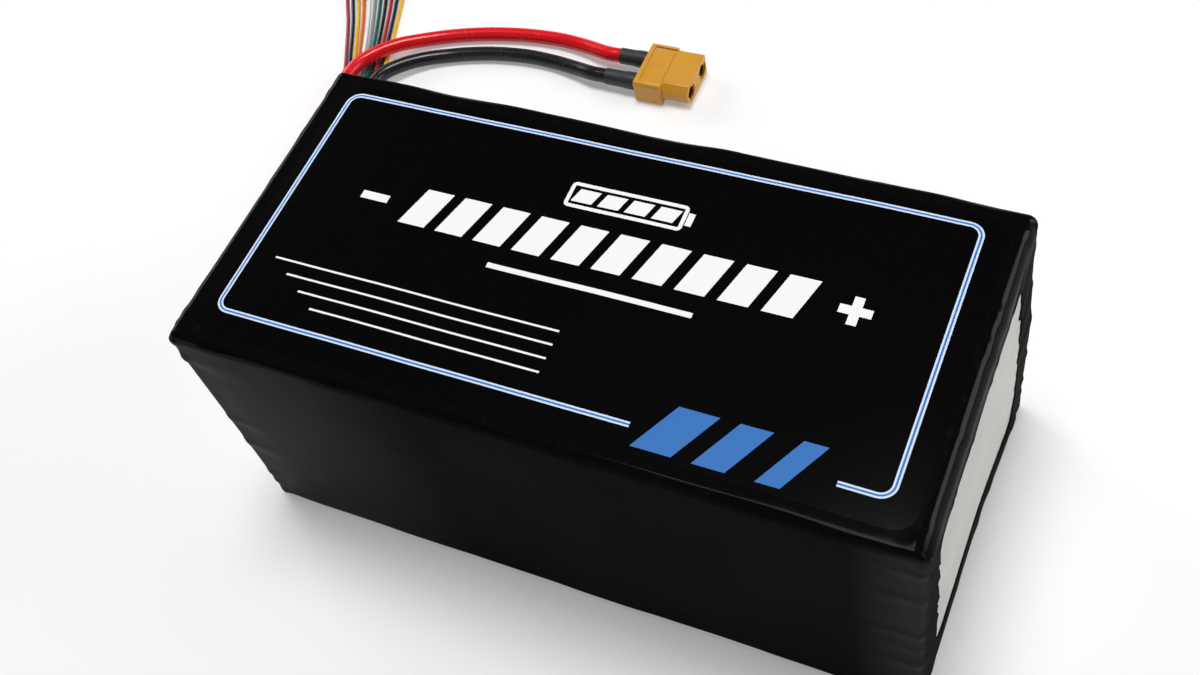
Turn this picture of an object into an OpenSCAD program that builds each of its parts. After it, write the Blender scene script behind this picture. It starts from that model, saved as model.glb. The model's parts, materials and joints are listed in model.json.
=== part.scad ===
// A ten-cell lithium polymer pack in a shrink sleeve, with its leads laid out behind it.
// The pack lies on its base with its tab end at -X. +Y is its back and +Z is up.

/* [Cells] */
// Length of a pouch body along the pack
cell_l = 180; // [150:1:210]
// Height of a cell, which stands on its long edge
cell_h = 89.7; // [84:0.1:110]
// Thickness of a cell
cell_t = 9.6; // [9:0.1:12]
// Radius along the long edges of a pouch
cell_r = 3; // [2.4:0.1:3.2]
// Thickness of the pouch foil
foil_t = 0.2; // [0.1:0.05:0.4]
// Thickness of the seams folded along the two narrow faces
seam_t = 0.4; // [0.2:0.1:0.8]
// Width of a folded seam
seam_w = 3; // [2:0.1:3.2]
// Distance that a seam stops short of each end of the pouch body
seam_inset = 3; // [1:0.5:10]
// Length of the shoulder where the pouch thins towards its tabs
shoulder_l = 4; // [2:0.5:8]
// Length of the flat seal that the tabs pass through
flange_l = 6; // [4:0.5:10]
// Thickness of that seal
flange_t = 0.8; // [0.7:0.05:1.4]
// Clearance round the electrodes in their pouch
stack_clear = 0.05; // [0.02:0.01:0.2]

/* [Tabs] */
// Width of a tab
tab_w = 24; // [16:0.5:26]
// Thickness of a tab
tab_t = 0.3; // [0.2:0.05:0.4]
// Distance between the two tabs of a cell
tab_pitch = 44; // [41:0.5:50]
// Length of tab folded flat onto its strap
tab_leg = 4; // [2:0.1:4.3]
// Thickness of the polymer film on each face of a tab
film_t = 0.1; // [0.05:0.01:0.15]
// Overhang of that film past each edge of its tab
film_over = 1; // [0.5:0.1:2]
// Length of film that shows past the pouch seal
film_show = 1.5; // [0.5:0.1:2.5]

/* [Stack] */
// Thickness of the foam tape between two cells
pad_t = 0.3; // [0.2:0.05:0.6]
// Length of each sheet of foam tape
pad_l = 150; // [60:1:170]
// Height of each sheet of foam tape
pad_h = 60; // [30:1:80]
// Thickness of the binding tape round the stack
binding_t = 0.25; // [0.1:0.05:0.4]
// Width of each band of binding tape
binding_w = 24; // [10:1:40]
// Distance between two bands
binding_pitch = 60; // [45:1:75]

/* [Wrap] */
// Thickness of the shrink sleeve
wrap_t = 0.4; // [0.2:0.05:0.8]
// Outer radius where the sleeve folds over an end
fold_r = 2; // [1:0.1:3]
// Width of the lip round each end
lip_w = 12; // [6:0.5:15]
// Corner radius of the opening inside a lip
opening_r = 8; // [2:0.5:15]
// Thickness of the printed film on the top
label_t = 0.12; // [0.05:0.01:0.3]
// Margin between the film and the long sides of the pack
label_side = 5; // [4:0.5:15]
// Margin between the film and the ends of the pack
label_end = 5; // [4:0.5:30]
// Corner radius of the film
label_r = 6; // [2:0.5:15]

/* [Ends] */
// Thickness of the board at the plain end
far_board_t = 2; // [1:0.1:4]
// Thickness of the board at the tab end
tab_board_t = 1.5; // [1:0.1:3]
// Depth of the bay between the series board and the tab end board
bay_l = 7.1; // [5:0.1:12]
// Bare length of tab between a pouch seal and the series board
tab_reach = 3; // [2.6:0.1:6]
// Thickness of the series board
series_board_t = 1.6; // [1:0.1:3]
// Margin of the series board inside the sides of the stack
series_side = 1; // [0.5:0.1:1.4]
// Margin of the series board inside the top and bottom of the stack
series_edge = 3; // [1:0.1:6]
// Clearance round a tab in its slot
slot_clear = 0.1; // [0.05:0.01:0.15]
// Thickness of the copper straps and bars on the board
link_t = 0.4; // [0.2:0.05:0.8]
// Gap between a strap and the tabs beside it
link_gap = 0.2; // [0.16:0.01:0.4]
// Thickness of the solder over a folded tab
solder_t = 0.4; // [0.2:0.05:0.8]
// Margin of the solder inside the edges of a folded tab
solder_edge = 0.5; // [0.2:0.1:0.9]
// Height of the copper bars where they cross the board
bus_h = 9; // [7.6:0.1:9.6]
// Gap between the two copper bars
bus_gap = 1; // [0.5:0.1:3]
// Margin of the foam pads inside the sides of the stack
foam_side = 4; // [2:0.1:8]

/* [Leads] */
// Diameter of a power lead
lead_d = 5.4; // [4.5:0.1:5.8]
// Diameter of its copper
conductor_d = 3.2; // [2.2:0.1:3.6]
// Distance between the two leads where they leave the pack
lead_pitch = 11; // [9:0.1:12]
// Distance of the pair from the middle of the pack
lead_y = 23.5; // [0:0.5:27]
// Height of the pair above the middle of the pack
lead_rise = 2.5; // [1.5:0.1:3.5]
// Diameter of a balance wire
wire_d = 1.5; // [1:0.05:1.55]
// Diameter of its copper
wire_conductor_d = 0.76; // [0.4:0.02:0.8]
// Distance between two balance wires where they leave the pack
wire_pitch = 1.8; // [1.7:0.05:2.2]
// Distance of the balance wires from the middle of the pack
wire_y = 22; // [0:0.5:26]
// Depth of the balance wires below the middle of the pack
wire_drop = 6; // [5:0.1:7]
// Height of the solder cone on a power lead
lead_solder_h = 1.8; // [1:0.1:3]
// Base radius of that cone
lead_solder_r = 3.4; // [2.6:0.1:3.6]
// Height of the solder cone on a balance wire
wire_solder_h = 1; // [0.5:0.1:2]
// Base radius of that cone
wire_solder_r = 0.8; // [0.6:0.02:0.84]
// Length of copper that stands out behind the series board
conductor_show = 0.6; // [0.2:0.1:1.5]
// Clearance round the copper in its hole
hole_clear = 0.1; // [0.02:0.01:0.2]
// Width of solder left round the copper at the top of a cone
solder_land = 0.1; // [0.05:0.01:0.3]

/* [Exit seal] */
// Sealant round the outermost leads
seal_wall = 2.5; // [1:0.1:3.5]
// Lap of the seal behind its board
seal_lap = 1; // [0.5:0.1:2]
// Thickness of that lap
seal_lap_t = 1.5; // [0.8:0.1:3]
// Depth of the seal's face below the face of the lip
seal_recess = 0.1; // [0.05:0.01:0.3]
// Corner radius of the seal
seal_r = 2; // [0.5:0.1:3]
// Clearance between the seal and its window
seal_clear = 0.1; // [0.05:0.01:0.3]
// Clearance round a lead in the seal
lead_clear = 0.05; // [0.02:0.01:0.2]

/* [Power connector] */
// Width of the rear body
body_w = 21; // [19:0.1:24]
// Height of the rear body
body_h = 10; // [9:0.1:12]
// Length of the rear body
body_l = 10.4; // [8:0.1:14]
// Corner radius of the rear body
body_r = 1.6; // [0.5:0.1:2.5]
// Width of the rim on three sides of a grip panel, which lies level with the nose
grip_rim = 1.8; // [1:0.1:3]
// Width of the nose
nose_w = 18.8; // [18:0.1:19]
// Height of the nose
nose_h = 8.4; // [7.6:0.1:9]
// Length of the nose
nose_l = 10.2; // [8:0.1:14]
// Chamfer on the negative side of the nose
nose_chamfer = 2.4; // [1:0.1:2.6]
// Distance between the two sockets
contact_pitch = 10.9; // [10:0.1:11.2]
// Outer diameter of a socket
barrel_d = 6; // [5.6:0.1:6.4]
// Bore of a socket
socket_d = 4.5; // [4:0.1:5]
// Depth of that bore
socket_depth = 10; // [6:0.1:11]
// Distance of a socket's mouth behind the nose
socket_recess = 0.4; // [0.1:0.1:2]
// Distance from the rear face to the shoulder that a socket seats on
shoulder_at = 8; // [6:0.1:9]
// Outer diameter of a solder cup
cup_d = 5.4; // [5:0.1:5.5]
// Bore of a solder cup
cup_bore = 4.2; // [3.8:0.1:4.6]
// Depth of a solder cup
cup_depth = 9; // [5:0.1:10]
// Length of a cup behind the housing
cup_reach = 5; // [3:0.1:7]
// Solder between a lead's copper and the floor of its cup
cup_fill = 1; // [0.5:0.1:2]
// Clearance between a socket and the housing
contact_clear = 0.05; // [0.02:0.01:0.1]
// Gap between a lead's jacket and its cup
jacket_gap = 0.3; // [0.1:0.1:1]
// Wall of the shrink sleeves over the cups
sleeve_t = 0.45; // [0.3:0.05:0.8]
// Clearance of a sleeve round its lead
sleeve_clear = 0.05; // [0.02:0.01:0.2]
// Length of the sleeve on the positive lead
positive_sleeve_l = 11.5; // [8:0.1:13]
// Length of the sleeve on the negative lead
negative_sleeve_l = 13; // [8:0.1:13.5]

/* [Balance connector] */
// Distance between two contacts
contact_step = 2.5; // [2.4:0.05:2.8]
// Distance from the outer contacts to the ends of the housing
housing_end = 2.45; // [1.8:0.05:4]
// Height of the housing
housing_h = 5.75; // [5:0.05:8]
// Length of the housing
housing_l = 9.8; // [9:0.1:14]
// Width of a contact's cavity
cavity_w = 1.9; // [1.75:0.05:2.1]
// Height of a contact's cavity
cavity_h = 2.2; // [2:0.05:3]
// Clearance between a contact and its cavity
cavity_clear = 0.08; // [0.02:0.01:0.1]
// Length of a contact's box
terminal_l = 6; // [4:0.1:6.6]
// Side of the square pin hole in a contact
pin_hole = 0.9; // [0.7:0.05:1.1]
// Length of the crimp behind a contact's box
crimp_l = 2; // [1:0.1:2.4]
// Side of the crimp
crimp_w = 1.3; // [1.1:0.05:1.5]
// Wall between a contact's pin hole and its crimp
terminal_wall = 1; // [0.5:0.1:2]
// Distance of a contact behind the mating face
terminal_recess = 0.4; // [0.1:0.1:0.6]
// Height of the two keying ribs on the housing
rib_h = 0.6; // [0.3:0.1:1]
// Width of a keying rib
rib_w = 1.2; // [0.6:0.1:2]
// Distance from the middle of the housing to a keying rib
rib_at = 10.4; // [6:0.1:12]

/* [Hidden] */
$fn = 48;
cell_count = 10;
wire_count = cell_count + 1;
// Length by which a cut runs past the faces that it opens
cut = 1;

// Outer size of the pack, worked out from what the sleeve holds
cell_pitch = cell_t + pad_t;
stack_w = cell_count * cell_t + (cell_count - 1) * pad_t;
pack_w = stack_w + 2 * (binding_t + wrap_t);
pack_h = cell_h + 2 * (binding_t + wrap_t);
pack_l = 2 * wrap_t + far_board_t + cell_l + shoulder_l + flange_l + tab_reach
    + series_board_t + bay_l + tab_board_t;
z_mid = pack_h / 2;
wrap_r = cell_r + binding_t + wrap_t;

// Stations along the pack, from the plain end to the tab end
x_cell_end = pack_l / 2 - wrap_t - far_board_t;
x_body = x_cell_end - cell_l;
x_body_mid = (x_cell_end + x_body) / 2;
x_shoulder = x_body - shoulder_l;
x_flange = x_shoulder - flange_l;
x_board_in = x_flange - tab_reach;
x_board = x_board_in - series_board_t;
x_link = x_board - link_t;
x_leg = x_link - tab_t;
x_solder = x_leg - solder_t;
x_end_board = x_board - bay_l;
x_face = -pack_l / 2 + seal_recess;
x_electrodes = x_body + foil_t + stack_clear;

// Sizes that follow from the cells and the sleeve
pouch_h = cell_h - 2 * seam_t;
flange_h = pouch_h - 2 * cell_r;
end_board_w = pack_w - 2 * fold_r;
end_board_h = pack_h - 2 * fold_r;
end_board_r = wrap_r - fold_r;
link_w = cell_pitch - tab_t - 2 * link_gap;

// Where the leads and wires cross the tab end
lead_z = z_mid + lead_rise;
wire_z = z_mid - wire_drop;
positive_y = lead_y - lead_pitch / 2;
negative_y = lead_y + lead_pitch / 2;
ribbon_half = (wire_count - 1) / 2 * wire_pitch + wire_d / 2;
exit_low = [
    min(wire_y - ribbon_half, positive_y - lead_d / 2) - seal_wall,
    wire_z - wire_d / 2 - seal_wall
];
exit_high = [
    max(wire_y + ribbon_half, negative_y + lead_d / 2) + seal_wall,
    lead_z + lead_d / 2 + seal_wall
];
x_lead = x_link - lead_solder_h;
x_wire = x_board - wire_solder_h;

// The power connector lies behind the pack, its sockets facing along +X
connector_at = [-56, 144.8];
connector_heading = 0;
connector_l = body_l + nose_l;
socket_front = connector_l - socket_recess;
sleeve_d = max(lead_d, cup_d) + 2 * sleeve_clear;
lead_end = -(cup_reach + jacket_gap);
cup_floor = cup_depth - cup_reach;
copper_tip = cup_floor - cup_fill;
// Straight lead past the mouth of its sleeve, and past that again
sleeve_run = 1;
sleeve_run_in = 5;

// The balance connector lies past the left end, its contacts facing back
housing_at = [-185.5, 171];
housing_heading = 108;
housing_w = (wire_count - 1) * contact_step + 2 * housing_end;
terminal_front = housing_l - terminal_recess;
terminal_back = terminal_front - terminal_l;
crimp_back = terminal_back - crimp_l;
// Straight wire behind the housing
wire_run = 2;
terminal_w = cavity_w - 2 * cavity_clear;
terminal_h = cavity_h - 2 * cavity_clear;

// Routes of the two leads on the floor behind the pack, between their exits and the connector
positive_route = [
    [-112, 18, 47.7],
    [-124, 20, 44.5],
    [-136.5, 26, 36],
    [-147.5, 36.5, 25],
    [-156.5, 52, 14.5],
    [-163, 71, 7.6],
    [-167, 90, 5],
    [-168.6, 106, 4.7],
    [-168.2, 120, 4.7],
    [-163.6, 128.6, 4.6],
    [-156.6, 135.8, 4.1],
    [-148.4, 141.3, 3.2],
    [-139.5, 145.7, 2.8],
    [-130, 149, 2.8],
    [-120, 151.6, 2.8],
    [-108, 153.6, 2.8],
    [-96, 154.4, 2.8],
    [-85, 153.2, 3.4]
];
negative_route = [
    [-112, 29, 47.7],
    [-122, 30.5, 45],
    [-133, 35.5, 37.5],
    [-142.5, 44.5, 27],
    [-150, 57, 16.5],
    [-155, 73, 9],
    [-157.6, 90, 5.4],
    [-158, 105, 4.7],
    [-155.6, 118.5, 4.7],
    [-150.4, 125.8, 4.4],
    [-143.2, 131.9, 3.5],
    [-134.6, 136.4, 2.8],
    [-125.3, 139.6, 2.8],
    [-115.5, 141.9, 2.8],
    [-104, 143.3, 2.8],
    [-92.5, 143, 2.9],
    [-82.5, 141.2, 3.8]
];

// Middle of the row of balance wires, with the distance between two wires at each point
ribbon_route = [
    [-110, 22, 39.2, 1.8],
    [-119, 23.3, 36, 1.8],
    [-129, 27.5, 28, 1.8],
    [-138, 35, 18, 1.8],
    [-145.5, 46, 9, 1.8],
    [-151.5, 60, 3.2, 1.75],
    [-156, 76, 1, 1.7],
    [-159.5, 92, 0.8, 1.65],
    [-162.5, 106, 0.8, 1.6],
    [-166, 121, 0.8, 1.6],
    [-171, 135, 0.8, 1.85],
    [-176.6, 149, 0.8, 2.1],
    [-181.4, 160, 1.4, 2.35]
];
lead_sides = 12;
wire_sides = 8;
wire_steps = 2;
wire_colors = [
    "#a8484c", "#20243c", "#d8b430", "#dc7828", "#e8e4de", "#8c8e90",
    "#2c7468", "#1c1c1e", "#b8303a", "#222844", "#d8b430"
];

function odd(i) = i % 2 == 1;
function two_digits(i) = str(i < 10 ? "0" : "", i);
function cell_name(i) = str("cell_", two_digits(i));
function wire_name(i) = str("balance_wire_", two_digits(i));

// Middle of cell i across the pack, the first cell at the back
function cell_y(i) = ((cell_count + 1) / 2 - i) * cell_pitch;
// Height of the upper or the lower row of tabs
function row_z(upper) = z_mid + (upper ? 1 : -1) * tab_pitch / 2;
// Middle of the gap between cell i and the next
function gap_y(i) = (cell_y(i) + cell_y(i + 1)) / 2;
// Side, +1 or -1 in Y, to which the tab of cell i folds in a row
function fold_side(i, upper) =
    upper ? (odd(i) ? -1 : 1)
    : i == 1 ? -1
    : i == cell_count ? 1
    : odd(i) ? 1 : -1;

// A point beside the power connector, by its distance along and across the connector
function at_connector(along, across) = [
    connector_at.x + along * cos(connector_heading) - across * sin(connector_heading),
    connector_at.y + along * sin(connector_heading) + across * cos(connector_heading),
    body_h / 2
];
// The same for the balance connector, across to the right of its heading
function at_housing(along, across) = [
    housing_at.x + along * cos(housing_heading) + across * sin(housing_heading),
    housing_at.y + along * sin(housing_heading) - across * cos(housing_heading),
    housing_h / 2
];
// Distance of wire i from the middle of its row, in steps
function wire_step(i) = i - (wire_count + 1) / 2;
// Place of wire i across the pack where it leaves the series board
function wire_exit_y(i) = wire_y + wire_step(i) * wire_pitch;

// Sweeping of a round tube along a list of points
function unit(v) = v / norm(v);
function heading(path, i) = unit(path[min(i + 1, len(path) - 1)] - path[max(i - 1, 0)]);
function blend(a, b, c, d, s) =
    0.5 * (2 * b + (c - a) * s + (2 * a - 5 * b + 4 * c - d) * s * s + (3 * b - a - 3 * c + d) * s * s * s);
function smooth(path, steps) = let (last = len(path) - 1) [
    for (i = [0:last - 1])
        for (k = [0:steps - 1])
            blend(path[max(i - 1, 0)], path[i], path[i + 1], path[min(i + 2, last)], k / steps),
    path[last]
];
function ring(path, i, d, sides) = let (
    ahead = heading(path, i),
    side = unit(cross(ahead, [0, 0, 1])),
    up = cross(side, ahead)
) [
    for (k = [0:sides - 1])
        path[i] + d / 2 * (cos(360 * k / sides) * side + sin(360 * k / sides) * up)
];

// Whole routes, from the solder at one end to the crimp or cup at the other
function lead_path(y, route, across, sleeve_l) = concat(
    [[x_lead, y, lead_z], [x_face, y, lead_z]],
    route,
    [for (back = [sleeve_l + sleeve_run + sleeve_run_in, sleeve_l + sleeve_run, -lead_end])
        at_connector(-back, across)]
);
function flat_right(v) = unit([v.y, -v.x, 0]);
function middle_path() = concat(
    [[x_wire, wire_y, wire_z], [x_face, wire_y, wire_z]],
    [for (p = ribbon_route) [p.x, p.y, p.z]],
    [at_housing(-wire_run, 0), at_housing(crimp_back, 0)]
);
function wire_spacing() = concat(
    [wire_pitch, wire_pitch],
    [for (p = ribbon_route) p[3]],
    [contact_step, contact_step]
);
function wire_path(i) = let (middle = middle_path(), spacing = wire_spacing()) [
    for (k = [0:len(middle) - 1])
        middle[k] + wire_step(i) * spacing[k] * flat_right(heading(middle, k))
];

// Shapes that several pieces share
module rounded_square(size, r) {
    square([size.x - 2 * r, size.y], center = true);
    square([size.x, size.y - 2 * r], center = true);
    for (sx = [-1, 1], sy = [-1, 1])
        translate([sx * (size.x / 2 - r), sy * (size.y / 2 - r)])
            circle(r);
}
// Extrudes an outline drawn in Y and Z from one station along the pack to another
module along_x(from, to) {
    translate([from, 0, 0])
        rotate([90, 0, 90])
            linear_extrude(to - from)
                children();
}
module rod(from, to, y, z, d) {
    along_x(from, to)
        translate([y, z])
            circle(d = d);
}
module cone(from, to, y, z, r_from, r_to) {
    translate([from, y, z])
        rotate([0, -90, 0])
            cylinder(h = from - to, r1 = r_from, r2 = r_to);
}
module block(low, high) {
    translate(low)
        cube(high - low);
}
module tube(path, d, sides) {
    last = len(path) - 1;
    points = [for (i = [0:last]) each ring(path, i, d, sides)];
    near = [for (i = [0:last - 1]) for (k = [0:sides - 1])
        [i * sides + k, i * sides + (k + 1) % sides, (i + 1) * sides + (k + 1) % sides]];
    far = [for (i = [0:last - 1]) for (k = [0:sides - 1])
        [i * sides + k, (i + 1) * sides + (k + 1) % sides, (i + 1) * sides + k]];
    start = [for (k = [sides - 1:-1:0]) k];
    end = [for (k = [0:sides - 1]) last * sides + k];
    polyhedron(points, concat([start], near, far, [end]));
}

// Outer form of the sleeve, moved inwards by inset
module sleeve_form(inset) {
    l = pack_l - 2 * inset;
    w = pack_w - 2 * inset;
    h = pack_h - 2 * inset;
    intersection() {
        along_x(-l / 2, l / 2)
            translate([0, z_mid])
                rounded_square([w, h], wrap_r - inset);
        translate([0, 0, inset])
            linear_extrude(h)
                rounded_square([l, w], fold_r - inset);
        translate([0, w / 2, z_mid])
            rotate([90, 0, 0])
                linear_extrude(w)
                    rounded_square([l, h], fold_r - inset);
    }
}
module shrink_wrap() {
    color("#161618")
        difference() {
            sleeve_form(0);
            sleeve_form(wrap_t);
            along_x(-pack_l, pack_l)
                translate([0, z_mid])
                    rounded_square([pack_w - 2 * lip_w, pack_h - 2 * lip_w], opening_r);
        }
}
module top_label() {
    color("#0c0c0e")
        translate([0, 0, pack_h])
            linear_extrude(label_t)
                rounded_square([pack_l - 2 * label_end, pack_w - 2 * label_side], label_r);
}
module end_board_outline() {
    translate([0, z_mid])
        rounded_square([end_board_w, end_board_h], end_board_r);
}
module far_end_board() {
    color("#c9c9c4")
        along_x(x_cell_end, x_cell_end + far_board_t)
            end_board_outline();
}
// Window in the tab end board, grown by a margin on every side
module exit_outline(grow) {
    translate((exit_low + exit_high) / 2)
        rounded_square(exit_high - exit_low + [2 * grow, 2 * grow], seal_r);
}
module tab_end_board() {
    color("#c9c9c4")
        along_x(x_end_board - tab_board_t, x_end_board)
            difference() {
                end_board_outline();
                exit_outline(seal_clear);
            }
}
module lead_exit_seal() {
    color("#1d1d1f")
        difference() {
            union() {
                along_x(x_face, x_end_board + seal_lap_t)
                    exit_outline(0);
                along_x(x_end_board, x_end_board + seal_lap_t)
                    exit_outline(seal_lap);
            }
            for (y = [positive_y, negative_y])
                rod(x_face - cut, x_end_board + seal_lap_t + cut, y, lead_z, lead_d + 2 * lead_clear);
            for (i = [1:wire_count])
                rod(x_face - cut, x_end_board + seal_lap_t + cut, wire_exit_y(i), wire_z,
                    wire_d + 2 * lead_clear);
        }
}
module bay_foam() {
    color("#3c3e42")
        for (upper = [false, true])
            along_x(x_end_board, x_solder)
                difference() {
                    translate([0, row_z(upper)])
                        square([stack_w - 2 * foam_side, tab_w], center = true);
                    exit_outline(seal_lap + seal_clear);
                }
}

module series_board() {
    color("#1f6b45")
        along_x(x_board, x_board_in)
            difference() {
                translate([0, z_mid])
                    square([stack_w - 2 * series_side, cell_h - 2 * series_edge], center = true);
                for (i = [1:cell_count], upper = [false, true])
                    translate([cell_y(i), row_z(upper)])
                        square([tab_t + 2 * slot_clear, tab_w + 2 * slot_clear], center = true);
                for (y = [positive_y, negative_y])
                    translate([y, lead_z])
                        circle(d = conductor_d + 2 * hole_clear);
                for (i = [1:wire_count])
                    translate([wire_exit_y(i), wire_z])
                        circle(d = wire_conductor_d + 2 * hole_clear);
            }
}
module series_links() {
    color("#b87a4b")
        for (i = [1:cell_count - 1])
            along_x(x_link, x_board)
                translate([gap_y(i), row_z(odd(i))])
                    square([link_w, tab_w], center = true);
}
// Copper bar from the strap beside an end cell to its lead
module bus_bar(strap_y, end_y, y) {
    low = min(strap_y - link_w / 2, end_y);
    high = max(strap_y + link_w / 2, end_y);
    color("#b87a4b")
        along_x(x_link, x_board)
            difference() {
                union() {
                    translate([strap_y - link_w / 2, row_z(false) - tab_w / 2])
                        square([link_w, lead_z + bus_h / 2 - row_z(false) + tab_w / 2]);
                    translate([low, lead_z - bus_h / 2])
                        square([high - low, bus_h]);
                }
                translate([y, lead_z])
                    circle(d = conductor_d + 2 * hole_clear);
            }
}
module positive_bus() {
    bus_bar(gap_y(cell_count - 1), lead_y - bus_gap / 2, positive_y);
}
module negative_bus() {
    bus_bar(gap_y(1), lead_y + bus_gap / 2, negative_y);
}
module tab_solder() {
    color("#c4c6c8")
        for (i = [1:cell_count], upper = [false, true])
            along_x(x_solder, x_leg)
                translate([cell_y(i) + fold_side(i, upper) * (tab_t + tab_leg) / 2, row_z(upper)])
                    square([tab_leg - 2 * solder_edge, tab_w - 2 * solder_edge], center = true);
}
module lead_solder() {
    color("#c4c6c8")
        for (y = [positive_y, negative_y])
            difference() {
                cone(x_link, x_lead, y, lead_z, lead_solder_r, conductor_d / 2 + solder_land);
                rod(x_lead - cut, x_link + cut, y, lead_z, conductor_d);
            }
}
module balance_solder() {
    color("#c4c6c8")
        for (i = [1:wire_count])
            difference() {
                cone(x_board, x_wire, wire_exit_y(i), wire_z, wire_solder_r,
                    wire_conductor_d / 2 + solder_land);
                rod(x_wire - cut, x_board + cut, wire_exit_y(i), wire_z, wire_conductor_d);
            }
}

// Body of a pouch, moved inwards by inset
module pouch(inset) {
    along_x(x_body + inset, x_cell_end - inset)
        translate([0, z_mid])
            rounded_square([cell_t - 2 * inset, pouch_h - 2 * inset], cell_r - inset);
}
module cell(i) {
    color("#b4b7bb")
        translate([0, cell_y(i), 0])
            difference() {
                union() {
                    pouch(0);
                    block([x_body + seam_inset, -seam_w / 2, z_mid - cell_h / 2],
                        [x_cell_end - seam_inset, seam_w / 2, z_mid + cell_h / 2]);
                    translate([0, 0, z_mid - flange_h / 2])
                        linear_extrude(flange_h)
                            polygon([
                                [x_body + foil_t, cell_t / 2], [x_body, cell_t / 2],
                                [x_shoulder, flange_t / 2], [x_flange, flange_t / 2],
                                [x_flange, -flange_t / 2], [x_shoulder, -flange_t / 2],
                                [x_body, -cell_t / 2], [x_body + foil_t, -cell_t / 2]
                            ]);
                }
                pouch(foil_t);
                for (upper = [false, true])
                    translate([0, 0, row_z(upper)]) {
                        block([x_flange - cut, -tab_t / 2, -tab_w / 2],
                            [x_electrodes, tab_t / 2, tab_w / 2]);
                        block([x_flange - cut, -tab_t / 2 - film_t, -tab_w / 2 - film_over],
                            [x_shoulder, tab_t / 2 + film_t, tab_w / 2 + film_over]);
                    }
            }
}
module electrode_stacks() {
    color("#4a4b50")
        for (i = [1:cell_count])
            translate([0, cell_y(i), 0])
                pouch(foil_t + stack_clear);
}
// Tab of cell i in a row, from the electrodes to the leg that folds onto its strap
module tab(i, upper) {
    side = fold_side(i, upper);
    translate([0, cell_y(i), row_z(upper)]) {
        block([x_leg, -tab_t / 2, -tab_w / 2], [x_electrodes, tab_t / 2, tab_w / 2]);
        block([x_leg, -tab_t / 2 + min(side, 0) * tab_leg, -tab_w / 2],
            [x_link, tab_t / 2 + max(side, 0) * tab_leg, tab_w / 2]);
    }
}
module positive_tabs() {
    color("#d2d4d6")
        for (i = [1:cell_count])
            tab(i, odd(i));
}
module negative_tabs() {
    color("#a9a294")
        for (i = [1:cell_count])
            tab(i, !odd(i));
}
module tab_seal_films() {
    color("#e0ddd2")
        for (i = [1:cell_count], upper = [false, true])
            translate([0, cell_y(i), row_z(upper)])
                difference() {
                    block([x_flange - film_show, -tab_t / 2 - film_t, -tab_w / 2 - film_over],
                        [x_shoulder, tab_t / 2 + film_t, tab_w / 2 + film_over]);
                    block([x_flange - film_show - cut, -tab_t / 2, -tab_w / 2],
                        [x_shoulder + cut, tab_t / 2, tab_w / 2]);
                }
}
module cell_pads() {
    color("#dfe0da")
        for (i = [1:cell_count - 1])
            translate([x_body_mid, gap_y(i), z_mid])
                cube([pad_l, pad_t, pad_h], center = true);
}
module binding_tapes() {
    color("#c08a2a")
        for (k = [-1:1])
            translate([x_body_mid + k * binding_pitch, 0, 0])
                along_x(-binding_w / 2, binding_w / 2)
                    translate([0, z_mid])
                        difference() {
                            rounded_square([stack_w + 2 * binding_t, cell_h + 2 * binding_t],
                                cell_r + binding_t);
                            rounded_square([stack_w, cell_h], cell_r);
                        }
}

module positive_lead() {
    color("#b51f26")
        tube(lead_path(positive_y, positive_route, contact_pitch / 2, positive_sleeve_l),
            lead_d, lead_sides);
}
module negative_lead() {
    color("#222224")
        tube(lead_path(negative_y, negative_route, -contact_pitch / 2, negative_sleeve_l),
            lead_d, lead_sides);
}
module lead_conductors() {
    color("#c08552")
        for (y = [positive_y, negative_y])
            rod(x_lead, x_board_in + conductor_show, y, lead_z, conductor_d);
}
// Places what is drawn along +X from the rear face of the power connector
module on_connector() {
    translate([connector_at.x, connector_at.y, body_h / 2])
        rotate([0, 0, connector_heading])
            children();
}
module cup_conductors() {
    color("#c08552")
        on_connector()
            for (side = [-1, 1])
                rod(lead_end, copper_tip, side * contact_pitch / 2, 0, conductor_d);
}
module cup_solder() {
    color("#c4c6c8")
        on_connector()
            for (side = [-1, 1])
                difference() {
                    rod(-cup_reach, cup_floor, side * contact_pitch / 2, 0, cup_bore);
                    rod(-cup_reach - cut, copper_tip, side * contact_pitch / 2, 0, conductor_d);
                }
}
module cup_sleeve(side, l) {
    color("#202022")
        on_connector()
            along_x(-l, 0)
                translate([side * contact_pitch / 2, 0])
                    difference() {
                        circle(d = sleeve_d + 2 * sleeve_t);
                        circle(d = sleeve_d);
                    }
}
module positive_cup_sleeve() {
    cup_sleeve(1, positive_sleeve_l);
}
module negative_cup_sleeve() {
    cup_sleeve(-1, negative_sleeve_l);
}
module power_connector_housing() {
    color("#d08f28")
        on_connector()
            difference() {
                union() {
                    along_x(0, body_l)
                        rounded_square([body_w, body_h], body_r);
                    along_x(body_l - cut, connector_l)
                        polygon([
                            [nose_w / 2, nose_h / 2], [nose_w / 2, -nose_h / 2],
                            [-nose_w / 2 + nose_chamfer, -nose_h / 2],
                            [-nose_w / 2, -nose_h / 2 + nose_chamfer],
                            [-nose_w / 2, nose_h / 2 - nose_chamfer],
                            [-nose_w / 2 + nose_chamfer, nose_h / 2]
                        ]);
                }
                for (side = [0, 1])
                    mirror([0, 0, side])
                        block([grip_rim, -body_w / 2 + grip_rim, nose_h / 2],
                            [body_l + cut, body_w / 2 - grip_rim, body_h / 2 + cut]);
                for (side = [-1, 1]) {
                    rod(-cut, connector_l, side * contact_pitch / 2, 0, cup_d + 2 * contact_clear);
                    rod(shoulder_at, connector_l + cut, side * contact_pitch / 2, 0,
                        barrel_d + 2 * contact_clear);
                }
            }
}
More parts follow.
